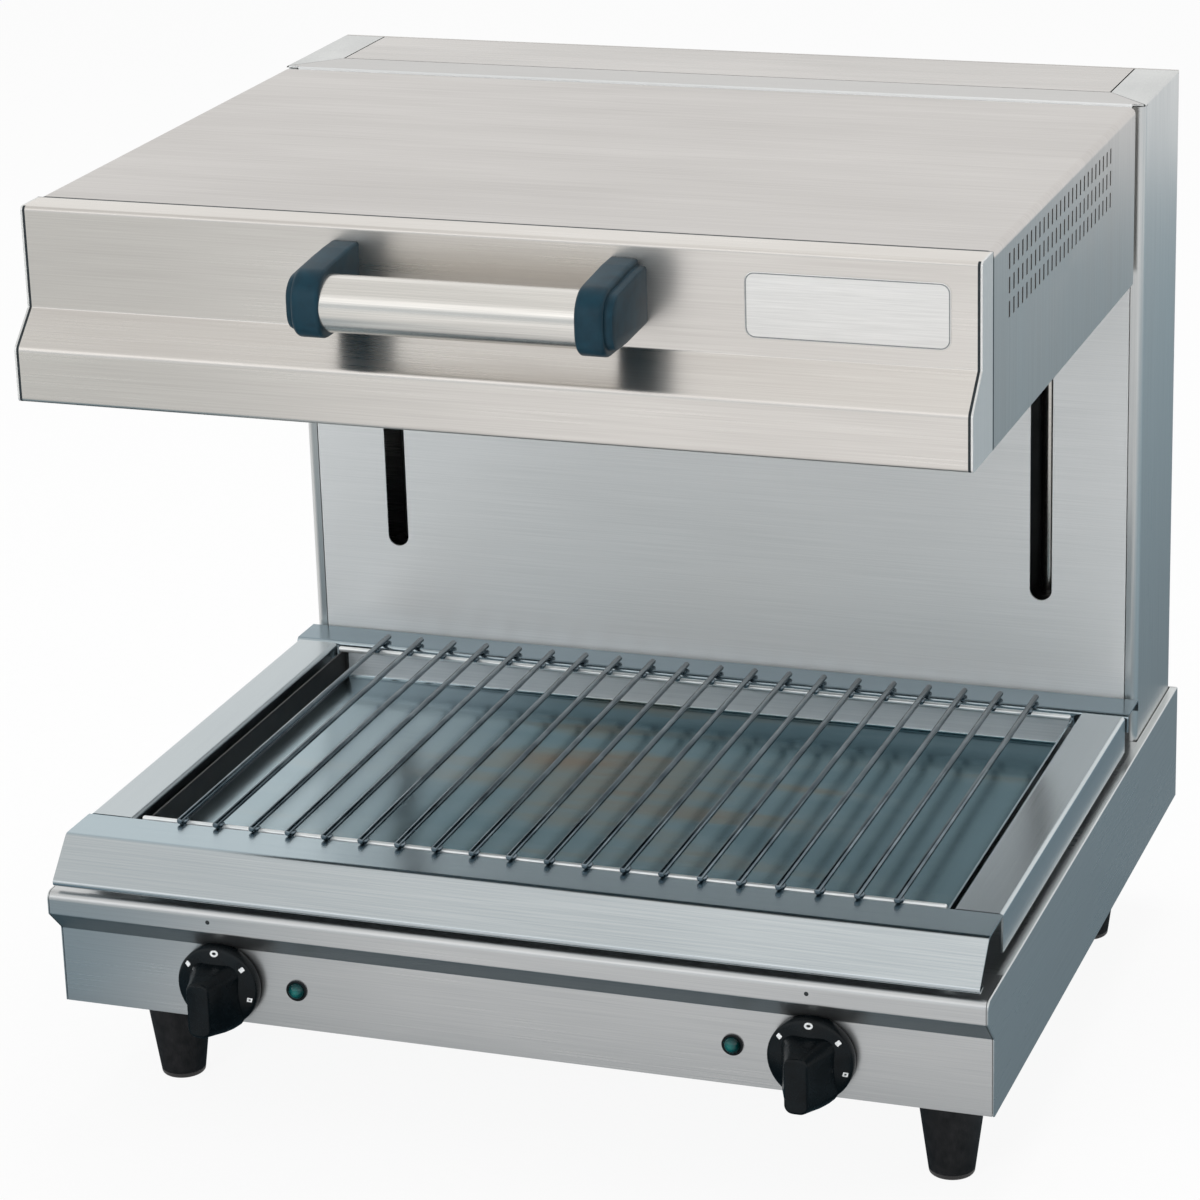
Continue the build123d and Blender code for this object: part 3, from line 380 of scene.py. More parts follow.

# Tray frame: two rails and a rear strip of folded sheet round the tray, and the runners under the pan.
# The same stainless sheet, brushed along each length, rubbed smoother by cleaning and a cool blue-grey, with
# a darker painted shade on the faces that look up.
rail_sheet = brushed_stainless("brushed_stainless_rail", "Y", "#BAC2C6", "#D0D6D9", 0.22, upper="#B6BEC2")
strip_sheet = brushed_stainless("brushed_stainless_strip", "X", "#BAC2C6", "#D0D6D9", 0.22, upper="#A5B6BE")
dress(rail_sheet, "frame_rail_left", "frame_rail_right", "tray_runners")
# The rear strip, under the hood, takes a darker copy of the strip's finish as painted shade.
shaded_strip = brushed_stainless("painted_shade_stainless_strip", "X", "#A4B2B9", "#BAC5CA", 0.22, upper="#7C8F99")
dress(shaded_strip, "rear_strip")

# Tray front: the folded fascia of the pull-out tray, level with the rails, with a hemmed lower edge.
# Stainless sheet brushed along its length, and welded to the pan by its web.
# Its flange, looking up, takes the strip's darker painted shade.
dress(strip_sheet, "tray_front")

# Drip pan: a shallow pan that hangs behind the tray front and catches fat under the rack.
# Pressed from stainless sheet, its floor scoured and blued by heat, its left end wall painted black as shade.


def heat_tinted_stainless(name, roughness, tones, middle=None, left_end_tone=None):
    """Scoured stainless that has been hot: smooth, blue-grey, with straw-brown clouds of oxide film.

    middle is the point where the film is strongest; the left end fades to a paler tone, given by the last
    argument.
    """
    material, tree, spot = new_material(name)
    # Oxide clouds are about 30 mm deep, and wiping has drawn them out to 150 mm from side to side.
    drawn = add(tree, "ShaderNodeMapping", {"Vector": spot, "Scale": (1 / 0.15, 1 / 0.03, 1 / 0.05)})
    cloud = add(tree, "ShaderNodeTexNoise", {"Vector": drawn, "Scale": 1.0, "Detail": 3.0})
    if middle:
        # The film is strongest where the heat is, and fades out 200 mm away.
        away = add(tree, "ShaderNodeVectorMath", {0: spot, 1: middle}, operation="DISTANCE").outputs["Value"]
        heat = {"Value": away, "From Min": 0.04, "From Max": 0.2, "To Min": 0.12, "To Max": -0.14}
        warmth = add(tree, "ShaderNodeMapRange", heat)
        cloud = add(tree, "ShaderNodeMath", {0: cloud, 1: warmth}, operation="ADD")
    tone = add(tree, "ShaderNodeValToRGB", {"Fac": cloud}, tones)
    if left_end_tone:
        # Towards the left end the floor fades to a paler grey.
        place = add(tree, "ShaderNodeSeparateXYZ", {"Vector": spot})
        reach = {"Value": place.outputs["X"], "From Min": -0.07, "From Max": -0.2, "To Max": 0.65}
        leftward = add(tree, "ShaderNodeMapRange", reach, interpolation_type="SMOOTHSTEP")
        paled = {"Factor": leftward, first_colour: tone, second_colour: linear(left_end_tone)}
        tone = add(tree, "ShaderNodeMix", paled, data_type="RGBA").outputs[mixed_colour]
    # Scouring marks, drawn 1 mm wide so that they show.
    rub = add(tree, "ShaderNodeMapping", {"Vector": spot, "Scale": (1 / 0.05, 1 / 0.001, 1 / 0.001)})
    marks = add(tree, "ShaderNodeTexNoise", {"Vector": rub, "Scale": 1.0, "Detail": 3.0})
    limits = {"From Min": 0.3, "From Max": 0.7, "To Min": roughness + 0.04, "To Max": roughness - 0.03}
    gloss = add(tree, "ShaderNodeMapRange", {"Value": marks, **limits})
    scratch = add(tree, "ShaderNodeBump", {"Height": marks, "Strength": 0.03, "Distance": 0.0002})
    metal = {"Base Color": tone, "Metallic": 1.0, "Roughness": gloss, "Normal": scratch}
    shader = add(tree, "ShaderNodeBsdfPrincipled", metal)
    add(tree, "ShaderNodeOutputMaterial", {"Surface": shader})
    return material


pan_tones = [(0.36, "#5F7F89"), (0.52, "#6B878F"), (0.64, "#77827F"), (0.8, "#7F7567")]
hot_middle = (-0.02, 0.02, 0.15)
pan_floor_finish = heat_tinted_stainless(
    "scoured_heat_tinted_stainless", 0.2, pan_tones, middle=hot_middle, left_end_tone="#B6C5CC")
# Painted shade: the pan's left end wall is painted near-black, a little shiny, with a faint brown mottle and
# a rough relief, standing in for the deep shade there.
left_wall_shade, tree, spot = new_material("painted_shade_black")
shade_mottle = add(tree, "ShaderNodeTexNoise", {"Vector": spot, "Scale": 1 / 0.012, "Detail": 5.0})
tone = add(tree, "ShaderNodeValToRGB", {"Fac": shade_mottle}, [(0.35, "#070808"), (0.75, "#1B1712")])
shade_relief = add(tree, "ShaderNodeBump", {"Height": shade_mottle, "Strength": 0.25, "Distance": 0.0006})
shader = add(tree, "ShaderNodeBsdfPrincipled", {"Base Color": tone, "Roughness": 0.45, "Normal": shade_relief})
add(tree, "ShaderNodeOutputMaterial", {"Surface": shader})
pan = bmesh.new()
pan_width, pan_front, pan_rear = 520, -188, 145.6
# Each loop of the pan, up the outside and down the inside: how far in it lies, its height and corner radius.
pan_sections = (
    (0.0, 161.0, 4.0), (0.0, 182.4, 4.0), (1.2, 182.4, 2.8), (1.2, 165.2, 2.8),
    (1.4, 164.0, 2.9), (2.0, 163.0, 3.2), (3.0, 162.4, 3.6), (4.2, 162.2, 4.0),
)
pan_loops = []
for inset, height, corner in pan_sections:
    ring = rounded_rectangle(pan_width - 2 * inset, pan_rear - pan_front - 2 * inset, corner)
    pan_loops.append([(px, (pan_front + pan_rear) / 2 + py, height) for px, py in ring])
loft(pan, pan_loops)
pan_wall_finish = brushed_stainless(
    "satin_stainless_pan_wall", "X", "#CDD4D8", "#DFE4E7", 0.5, spread=0.1, metallic=0.55)
pan_finishes = (strip_sheet, pan_floor_finish, left_wall_shade, pan_wall_finish)
pressed_pan = put("drip_pan_pressing", pan, "tray", "stainless_sheet", *pan_finishes)
# The finish of each face follows from where it lies, in metres, and which way it looks.
end_x, rear_y, floor_z = 0.2565, 0.141, 0.17
for face in pressed_pan.data.polygons:
    finish = strip_sheet
    # The left end wall and its rim take the black painted shade.
    if face.center.x < -end_x and (face.normal.x > 0.3 or face.normal.z > 0.5):
        finish = left_wall_shade
    elif face.normal.z > 0.5 and face.center.z < floor_z:
        finish = pan_floor_finish
    elif face.center.y > rear_y and abs(face.center.x) < end_x:
        finish = pan_wall_finish
    face.material_index = pan_finishes.index(finish)
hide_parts("drip_pan")

# Wire rack: twenty rods spot-welded across two cross wires that rest on the tray.
# Steel wire, cut, tumbled and chrome-plated after welding, with rounded ends and small weld nuggets.


def wire_outline(length):
    """Outline of a wire with tumbled ends, from one end to the other."""
    end = [(0, 0), (1.0, 0.15), (1.6, 0.5), (1.95, 1.2)]
    return end + [(r, length - h) for r, h in reversed(end)]


# Bright chrome: mirror-smooth and slightly cool, dulled a little by grease film in patches. The rods are
# painted darker as shade, and the cross wires below them are painted brighter as a highlight, and are more
# satin.
rod_chrome_shaded = plated("chrome_plated_wire_painted_shade", "#56626A", "#7F8B92", 20, 0.08, 0.22)
wire_chrome_highlit = plated("chrome_plated_wire_painted_highlight", "#E4E9EB", "#F6F8F8", 20, 0.24, 0.38, metallic=0.6)
rod_count, rod_half, rod_front, rod_length, rod_z = 20, 231.3, -191, 350, 189.5
wire_half, wire_z, wire_places = 260, 185.6, (-183, 136)
nugget_outline, nugget_z = [(0, 2.6), (1.8, 2.3), (2.9, 1.2), (3.2, 0), (2.9, -1.2), (0, -2.2)], 187.2
rack = bmesh.new()
for row in range(rod_count):
    rod_x = rod_half * (2 * row / (rod_count - 1) - 1)
    lathe(rack, wire_outline(rod_length), facing((0, 1, 0), rod_x, rod_front, rod_z), steps=20)
    for wire_y in wire_places:
        lathe(rack, nugget_outline, facing((0, 0, 1), rod_x, wire_y, nugget_z), steps=12)
rod_faces = len(rack.faces)
for wire_y in wire_places:
    lathe(rack, wire_outline(2 * wire_half), facing((1, 0, 0), -wire_half, wire_y, wire_z), steps=20)
# The cross wires, which come last in the mesh, take the second finish.
rack.faces.ensure_lookup_table()
for face in rack.faces[rod_faces:]:
    face.material_index = 1
plated_rack = put("wire_rack_plated", rack, "rack", "chromed_wire", rod_chrome_shaded, wire_chrome_highlit)
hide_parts("wire_rack")

# Column: two sides with returns, a front panel with the two lift slots, an inset top and a rear cover.
# Stainless sheet, brushed upright on the sides and across on the rest, the front to a softer satin.
column_side_sheet = brushed_stainless(
    "brushed_stainless_column_side", "Z", "#C3C5C5", "#D6D7D6", 0.32, spread=0.2)
# The front panel's top flange, looking up, takes the darker upper tone as painted shade.
column_front_sheet = brushed_stainless(
    "satin_stainless_column_front", "X", "#DCDEDE", "#EAEBEB", 0.42, spread=0.2, metallic=0.5,
    upper="#B9B7B5")
column_sheet = brushed_stainless("brushed_stainless_column", "X", "#BFBCB9", "#D1CDCA", 0.27)
dress(column_side_sheet, "column_side_left", "column_side_right")
dress(column_front_sheet, "column_front_panel")
dress(column_sheet, "column_top_cover")
# The rear cover is one sheet, folded forward along its top edge.
cover_half, cover_low, hem = 293.5, 156.4, 2.0
bend_y, bend_z, outer_bend, inner_bend = 284.4, 584.5, 2.5, 1.3
quarter_turn = [(math.cos(math.radians(a)), math.sin(math.radians(a))) for a in range(0, 91, 15)]
cover_edge = [(bend_y + outer_bend, cover_low)]
cover_edge += [(bend_y + outer_bend * px, bend_z + outer_bend * py) for px, py in quarter_turn]
cover_edge += [(bend_y - hem, bend_z + outer_bend), (bend_y - hem, bend_z + inner_bend)]
cover_edge += [(bend_y + inner_bend * px, bend_z + inner_bend * py) for px, py in quarter_turn[::-1]]
cover_edge.append((bend_y + inner_bend, cover_low))
rear_cover = bmesh.new()
cover_ends = (-cover_half, cover_half)
loft(rear_cover, [[(across, depth, height) for depth, height in cover_edge] for across in cover_ends])
folded_cover = put("rear_cover_sheet", rear_cover, "base", "stainless_sheet", column_sheet)
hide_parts("column_rear_cover")

# Rear cover screws: ten countersunk screws with a small round socket, round the edge of the cover.
# Steel, turned and nickel-plated, driven level with the face of the sheet.
screws = bmesh.new()
head = [(0, 0.02), (0.9, 0.02), (1.2, 0.06), (3.2, 0.09), (3.5, 0.05), (3.6, -0.3)]
screw_places = [(screw_x, screw_z) for screw_x in (-285, -95, 95, 285) for screw_z in (168, 574)]
screw_places += [(-285, 370), (285, 370)]
for screw_x, screw_z in screw_places:
    lathe(screws, head, facing((0, 1, 0), screw_x, bend_y + outer_bend, screw_z), steps=24)
put("rear_cover_screws", screws, "base", "plated_steel", nickel)

# Lift frame inside the column: lower beam, pulley beam and the channels that guide the counterweight.
# Mild steel plate and folded strip, coated with grey primer.
# Sprayed primer: even mid grey, matt, with the faint orange-peel of a quick coat.
primer = mottled(
    "sprayed_grey_primer", "#63686A", "#787D7E", 30, 4, {"Roughness": 0.6}, bump=(0.1, 0.3), grain=1.5)
dress(primer, "lower_beam", "pulley_beam", "weight_guides", "carriage_beam", "lift_arms")

# Guide rods, pulley pins and lift cables: the bright steel of the lift.
# The rods and pins are turned and nickel-plated, and the cables are galvanised strand.
dress(nickel, "guide_rods", "pulley_pins")
# Galvanised strand: grey zinc with the twisted lay of the wires, drawn 3 mm to a turn.
strand, tree, spot = new_material("galvanised_wire_strand")
turns = {"Vector": spot, "Scale": 2 * math.pi / 20 / 0.003, "Distortion": 0.4}
lay = add(tree, "ShaderNodeTexWave", turns, bands_direction="DIAGONAL").outputs["Fac"]
tone = add(tree, "ShaderNodeValToRGB", {"Fac": lay}, [(0.1, "#7C8083"), (0.9, "#B4B8BA")])
groove = add(tree, "ShaderNodeBump", {"Height": lay, "Strength": 0.5, "Distance": 0.0004})
metal = {"Base Color": tone, "Metallic": 1.0, "Roughness": 0.38, "Normal": groove}
shader = add(tree, "ShaderNodeBsdfPrincipled", metal)
add(tree, "ShaderNodeOutputMaterial", {"Surface": shader})
dress(strand, "lift_cables_front", "lift_cables_rear", "lift_cable_bends")

# Slide blocks and pulleys of aluminium, the bronze bushes in the blocks, and the rubber lift stops.
# The blocks are milled, the pulleys and bushes turned, and the stops cut from rubber rod.
# Machined aluminium: pale grey with a fine mottle from the cutter.
milled = {"Metallic": 1.0, "Roughness": 0.35}
aluminium = mottled("machined_aluminium", "#A9ABAD", "#C6C8C9", 1.5, 3, milled)
dress(aluminium, "slide_blocks", "pulley_left", "pulley_right")
# Turned bronze: warm brown-gold, dulled by oil.
oiled = {"Metallic": 1.0, "Roughness": 0.3}
bronze = mottled("turned_bronze", "#8F6A35", "#B98F52", 4, 3, oiled)
dress(bronze, "guide_bushes")
dress(foot_rubber, "lift_stops")

# Counterweight: a slab that balances the hood and hangs on the two cables inside the column.
# It is sand-cast in iron and painted black.
# Painted cast iron: sandy, matt, with pits from the mould.
iron = mottled("painted_sand_cast_iron", "#232425", "#3A3B3C", 4, 6, {"Roughness": 0.7}, bump=(0.5, 0.8))
# The plan has a tongue at each end for its guide, and two grooves 6 mm wide, open to the rear.
# A cable runs in each groove, and the slab slides along it.
plan = [
    (200, 247), (208, 247), (208, 257), (200, 257), (200, 269.5),
    (153, 269.5), (153, 249), (147, 249), (147, 269.5),
]
plan += [(-px, py) for px, py in reversed(plan)] + [(-200, 234.5), (200, 234.5)]
slab_low, slab_high = 146, 281
slab = bmesh.new()
loft(slab, [[(px, py, height) for px, py in plan] for height in (slab_low, slab_high)])
bmesh.ops.bevel(slab, geom=slab.edges[:], offset=0.7, segments=2, affect="EDGES", profile=0.5)
casting = put("counterweight_casting", slab, "counterweight", "cast_iron", iron)
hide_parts("counterweight")

# Hood: a cover folded over the top and sides, a folded front, two end caps and a rear panel.
# Stainless sheet, brushed over the top and down the sides, and along on the front.
seam_y = -0.1997  # the joint between the front and the cover, in metres
hood_cover_sheet = brushed_stainless(
    "brushed_stainless_hood_cover", "XZ", "#BDB9B6", "#CFCBC8", 0.32, spread=0.1, joint=seam_y)
hood_sheet = brushed_stainless("brushed_stainless_hood", "X", "#D6D1CC", "#E6E2DD", 0.3, joint=seam_y)
hood_cap_sheet = brushed_stainless(
    "brushed_stainless_hood_cap", "Z", "#D2D3D2", "#E0E0DF", 0.36, spread=0.1, metallic=0.6, joint=seam_y)
dress(hood_cover_sheet, "hood_cover")
dress(hood_sheet, "hood_front_panel", "hood_rear_panel")
dress(hood_cap_sheet, "hood_end_cap_left", "hood_end_cap_right")

# Hood seams: the joints of the front panel with its end caps and of the front with the cover.
# Each gap holds a black strip, level with the sheet, as painted shade for the shadow in the gap.


def rounded_outline(corners, steps=7):
    """Points round a closed outline, with an arc at each corner: its two coordinates and its radius."""
    points = []
    count = len(corners)
    for i in range(count):
        corner = Vector(corners[i][:2])
        before = (Vector(corners[i - 1][:2]) - corner).normalized()
        after = (Vector(corners[(i + 1) % count][:2]) - corner).normalized()
        half = before.angle(after) / 2
        radius = corners[i][2]
        middle = corner + (before + after).normalized() * (radius / math.sin(half))
        first = corner + before * (radius / math.tan(half)) - middle
        last = corner + after * (radius / math.tan(half)) - middle
        swing = first.angle_signed(last)
        for step in range(steps + 1):
            turn = Matrix.Rotation(-swing * step / steps, 2)
            points.append(middle + turn @ first)
    return points


# Painted gap shade: near-black and dull, with small ripples, standing in for the shadow in the seams.
gap_shade = mottled("painted_gap_shade", "#0B1216", "#1B272D", 4, 3, {"Roughness": 0.6}, bump=(0.2, 0.3))
hood_face_y, hood_band_y, hood_back_y, seam_end_y = -224, -245, -200, -201.5
hood_top, hood_low = 588, 474
hood_corners = [
    (hood_face_y, hood_top, 2.7), (hood_face_y, 526.7, 1.5), (hood_band_y, 507, 5.2),
    (hood_band_y, hood_low, 2.7), (hood_back_y, hood_low, 1), (hood_back_y, hood_top, 1),
]
hood_points = [p for p in rounded_outline(hood_corners) if p.x < seam_end_y]
# A point inside the hood tells which way is out, and the dark strip stays just under the hood's top.
hood_inside = Vector((-210, 500))
gap_shade_limit = hood_top - 0.01
# Each row of the dark strip: how far out it lies on the hood, and how far it stands proud of the sheet.
gap_shade_rows = ((288.1, -0.25), (288.2, 0.02), (289.0, 0.04), (289.8, 0.02), (289.9, -0.25))
for side, sign in (("left", -1), ("right", 1)):
    gap_shade_strip = bmesh.new()
    rows = []
    for across, proud in gap_shade_rows:
        row = []
        for i, point in enumerate(hood_points):
            step = hood_points[min(i + 1, len(hood_points) - 1)] - hood_points[max(i - 1, 0)]
            outward = Vector((step.y, -step.x)).normalized()
            if outward.dot(point - hood_inside) < 0:
                outward = -outward
            moved = point + outward * proud
            row.append(gap_shade_strip.verts.new((sign * across, moved.x, min(moved.y, gap_shade_limit))))
        rows.append(row)
    for lower, upper in zip(rows, rows[1:]):
        for i in range(len(hood_points) - 1):
            gap_shade_strip.faces.new((lower[i], lower[i + 1], upper[i + 1], upper[i]))
    put("hood_end_seam_" + side, gap_shade_strip, "hood", "knob_plastic", gap_shade)
# The dark strip behind the front panel, painted shade for that gap, goes round the hood between two outlines,
# in a gap 0.7 mm wide.
# Each outline has half its width, its top, its foot and the radius of its upper corners.
gap_front, gap_rear = -200.0, -199.3
outlines = []
for half, top, foot, corner in ((290.3, 587.5, 475, 2.0), (289.2, 586.4, 476, 1.4)):
    feet = [(-half, foot, 0.1), (half, foot, 0.1)]
    outlines.append(rounded_outline([(half, top, corner), (-half, top, corner)] + feet))
outer, inner = outlines
joint = bmesh.new()
joint_loops = []
for depth, ring in ((gap_front, inner), (gap_front, outer), (gap_rear, outer), (gap_rear, inner)):
    joint_loops.append([(p.x, depth, p.y) for p in ring])
loft(joint, joint_loops, capped=False)
put("hood_cover_seam", joint, "hood", "knob_plastic", gap_shade)

# Grill underside: the reflector, the two folded heating tubes and the bars that carry them.
# The reflector is bright sheet that heat has tinted, and the tubes are sheathed in nickel alloy.
reflector_tones = [(0.42, "#8FA3AA"), (0.56, "#97A8AD"), (0.74, "#A89482")]
reflector_finish = heat_tinted_stainless("bright_heat_tinted_reflector", 0.16, reflector_tones)
dress(reflector_finish, "reflector", "element_supports")
# Oxidised sheath: dark green-grey and dull, with lighter scale in flecks.
scaled = {"Metallic": 0.6, "Roughness": 0.6}
sheath = mottled("oxidised_element_sheath", "#2B2C29", "#4B4A44", 5, 5, scaled)
dress(sheath, "heating_element_left", "heating_element_right")
# Mineral wool: felted yellow-grey fibre, matt.
wool = mottled("felted_mineral_wool", "#A3936A", "#CBBE95", 2, 6, {"Roughness": 0.95}, bump=(0.8, 2))
dress(wool, "insulation_pad")

# Plate on the hood's face: a bare rounded plate with a thin grey line round its rim, stuck on at the right.
# Anodised aluminium, satin, with the line printed on the surface.
plate_x, plate_z, plate_width, plate_height, plate_corner = 214.25, 556.2, 118.5, 38.4, 6.0


def plate_loop(inset, proud):
    """Points round the plate, moved in from its rim and out from the hood's face."""
    ring = rounded_rectangle(plate_width - 2 * inset, plate_height - 2 * inset, plate_corner - inset)
    return [(plate_x + px, hood_face_y - proud, plate_z + pz) for px, pz in ring]


# Satin anodised aluminium: pale, even and soft, with a very fine grain along it.
plate_finish, tree, spot = new_material("satin_anodised_aluminium")
drawn = add(tree, "ShaderNodeMapping", {"Vector": spot, "Scale": (1 / 0.03, 1 / 0.0006, 1 / 0.0006)})
grain = add(tree, "ShaderNodeTexNoise", {"Vector": drawn, "Scale": 1.0, "Detail": 2.0})
tone = add(tree, "ShaderNodeValToRGB", {"Fac": grain}, [(0.3, "#D9D8D6"), (0.7, "#E6E5E3")])
shader = add(tree, "ShaderNodeBsdfPrincipled", {"Base Color": tone, "Metallic": 0.7, "Roughness": 0.42})
add(tree, "ShaderNodeOutputMaterial", {"Surface": shader})
# Printed grey line: thin enamel, matt, a little uneven.
grey_line = mottled("screen_printed_grey_ink", "#6E7274", "#868A8B", 0.5, 3, {"Roughness": 0.5})
plate = bmesh.new()
plate_rims = ((0.0, 0.0), (0.0, 0.45), (0.25, 0.65), (0.6, 0.7))
loft(plate, [plate_loop(inset, proud) for inset, proud in plate_rims])
put("hood_plate", plate, "hood", "brushed_tube", plate_finish)
border = bmesh.new()
border_rims = ((0.5, 0.5), (0.5, 0.74), (1.2, 0.74), (1.2, 0.5))
loft(border, [plate_loop(inset, proud) for inset, proud in border_rims], capped=False)
put("hood_plate_border", border, "hood", "knob_plastic", grey_line)

# Handle: two moulded brackets screwed to the hood's face and a brushed tube held between them.
# The brackets are satin petrol-blue nylon with softened edges and a stepped cheek on the outer side.
bracket_low, bracket_high = 537.1, 579.0


def drawn_in(points, inset):
    """The outline moved in by a distance, at right angles to itself, but for the end on the hood's face."""
    moved = []
    count = len(points)
    for i in range(count):
        along = (points[(i + 1) % count] - points[i - 1]).normalized()
        moved.append(points[i] + Vector((-along.y, along.x)) * inset)
        if points[i].x > hood_face_y - 1:
            seat_z = min(max(points[i].y, bracket_low + inset), bracket_high - inset)
            moved[-1] = Vector((points[i].x, seat_z))
    return moved


# Moulded nylon, dyed petrol blue: satin, with a fine spark-eroded grain.
satin = {"Roughness": 0.4, "Specular IOR Level": 0.22}
petrol_nylon = mottled(
    "moulded_petrol_nylon", "#0A2733", "#0E3341", 10, 3, satin, bump=(0.08, 0.2), grain=0.7)
bracket_corners = [
    (hood_face_y, bracket_high, 0.5), (-239, 578.5, 10), (-287, 573.6, 17),
    (-287, 535.1, 15), (-257, 535.1, 14), (hood_face_y, bracket_low, 0.5),
]
bracket_points = rounded_outline(bracket_corners)
# Each section of a bracket, from its inner face to its cheek: how far out it lies, and how far drawn in.
bracket_sections = (
    (76.0, 2.0), (76.3, 1.0), (77.0, 0.3), (78.0, 0.0), (90.6, 0.0), (91.9, 0.35), (92.7, 1.0),
    (93.0, 1.9), (93.0, 3.4), (93.25, 3.7), (95.6, 3.9), (97.2, 4.6), (98.0, 6.2),
)
for side, sign in (("left", -1), ("right", 1)):
    bracket = bmesh.new()
    bracket_loops = []
    for out, inset in bracket_sections:
        bracket_loops.append([(sign * out, p.x, p.y) for p in drawn_in(bracket_points, inset)])
    loft(bracket, bracket_loops)
    moulding = put("handle_moulding_" + side, bracket, "hood", "handle_plastic", petrol_nylon)
    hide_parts("handle_bracket_" + side)
# Brushed tube: stainless, linished along its length, so that its highlights run in long bright bands.
tube_finish = brushed_stainless("linished_stainless_tube", "X", "#D8D5D0", "#EEEBE6", 0.24, spread=0.3)
dress(tube_finish, "handle_tube")

# Studio floor: matt white paper that runs far out behind the grill, so that no edge of it shows.
# It is lit to white for the camera and in the metal, and keeps a part of the grill's soft shadow.
paper, tree, spot = new_material("matt_white_paper")
fibre = add(tree, "ShaderNodeTexNoise", {"Vector": spot, "Scale": 1 / 0.01, "Detail": 3.0})
tone = add(tree, "ShaderNodeValToRGB", {"Fac": fibre}, [(0.3, "#F3F3F3"), (0.7, "#F9F9F9")])
matt = add(tree, "ShaderNodeBsdfDiffuse", {"Color": tone})
white = add(tree, "ShaderNodeEmission", {"Color": linear("#FFFFFF"), "Strength": 1.0})
ray = add(tree, "ShaderNodeLightPath")
through = {0: ray.outputs["Is Glossy Ray"], 1: ray.outputs["Is Transmission Ray"]}
mirrored = add(tree, "ShaderNodeMath", through, operation="ADD")
looked_at = {0: mirrored, 1: ray.outputs["Is Camera Ray"]}
seen = add(tree, "ShaderNodeMath", looked_at, operation="ADD", use_clamp=True)
share = add(tree, "ShaderNodeMath", {0: seen, 1: 0.92}, operation="MULTIPLY")
lit = add(tree, "ShaderNodeMixShader", {0: share, 1: matt, 2: white})
add(tree, "ShaderNodeOutputMaterial", {"Surface": lit})
floor_mesh = bpy.data.meshes.new("studio_floor")
reach = 9.0
floor_corners = [(-reach, -reach, 0), (reach, -reach, 0), (reach, reach, 0), (-reach, reach, 0)]
floor_mesh.from_pydata(floor_corners, [], [(0, 1, 2, 3)])
floor_mesh.materials.append(paper)
floor = bpy.data.objects.new("studio_floor", floor_mesh)
bpy.context.scene.collection.objects.link(floor)

# Shaded cards on the floor, as a studio lays round bright metal: in front, at the left corner, on the right
# and under the base. They show only in the metal, and each runs from one grey to another across the floor.
# Each has its corners in metres, the slant of its fade, where the fade starts and stops, and its two greys.
card_layout = (
    ("card_front", (-2.2, -4.0, 0.9, -0.33), (-0.361, -0.082), (-0.36, -0.06), ("#D6D8D6", "#FFFFFF")),
    ("card_corner", (-0.9, -0.75, -0.25, -0.33), (0.0, 0.0), (-0.41, -0.26), ("#7D939E", "#D2D4D5")),
    ("card_right", (0.31, -0.5, 2.0, 2.4), (0.0, 0.0), (0.38, 0.85), ("#728189", "#9BB0BA")),
    ("card_under", (-0.6, -0.33, 0.31, 0.3), (0.0, 0.0), (-0.4, 0.4), ("#3B4E57", "#3E525B")),
)
for lift, (name, (x0, y0, x1, y1), (lean, offset), (start, stop), (low, high)) in enumerate(card_layout):
    card_paint, tree, spot = new_material(name + "_paint")
    place = add(tree, "ShaderNodeSeparateXYZ", {"Vector": spot})
    aside = {0: place.outputs["Y"], 1: lean, 2: offset}
    slant = add(tree, "ShaderNodeMath", aside, operation="MULTIPLY_ADD")
    across = add(tree, "ShaderNodeMath", {0: place.outputs["X"], 1: slant}, operation="ADD")
    limits = {"Value": across, "From Min": start, "From Max": stop}
    fade = add(tree, "ShaderNodeMapRange", limits, interpolation_type="SMOOTHSTEP")
    greys = {"Factor": fade, first_colour: linear(low), second_colour: linear(high)}
    tone = add(tree, "ShaderNodeMix", greys, data_type="RGBA").outputs[mixed_colour]
    strength = 1.0
    if name == "card_front":
        # Nearer to the grill the paper falls off to grey.
        near = {"Value": place.outputs["Y"], "From Min": -0.4, "From Max": -1.6, "To Min": 0.68}
        strength = add(tree, "ShaderNodeMapRange", near)
    glow = add(tree, "ShaderNodeEmission", {"Color": tone, "Strength": strength})
    add(tree, "ShaderNodeOutputMaterial", {"Surface": glow})
    card_mesh = bpy.data.meshes.new(name)
    rise = 0.002 + 0.0005 * lift
    corners = [(x0, y0, rise), (x1, y0, rise), (x1, y1, rise), (x0, y1, rise)]
    card_mesh.from_pydata(corners, [], [(0, 1, 2, 3)])
    card_mesh.materials.append(card_paint)
    card = bpy.data.objects.new(name, card_mesh)
    bpy.context.scene.collection.objects.link(card)
    card.visible_camera = False
    card.visible_diffuse = False
    card.visible_shadow = False
    card.visible_transmission = False

# Room: a white studio. In the metal its front end shows as a bright window band over a grey wall,
# with a softer ceiling above it that is greyer at the left.
world = bpy.data.worlds.new("lit_studio")
bpy.context.scene.world = world
world.use_nodes = True
tree = world.node_tree
tree.nodes.clear()
ray = add(tree, "ShaderNodeLightPath")
through = {0: ray.outputs["Is Glossy Ray"], 1: ray.outputs["Is Transmission Ray"]}
mirrored = add(tree, "ShaderNodeMath", through, operation="ADD", use_clamp=True)
way = add(tree, "ShaderNodeSeparateXYZ", {"Vector": add(tree, "ShaderNodeTexCoord").outputs["Generated"]})
heights = [
    (0.0, "#A9AFB3"), (0.2, "#B5BABD"), (0.3, "#FFFFFF"), (0.52, "#FFFFFF"), (0.64, "#D2D2D1"),
    (0.95, "#DEDEDD"),
]
wall = add(tree, "ShaderNodeValToRGB", {"Fac": way.outputs["Z"]}, heights)
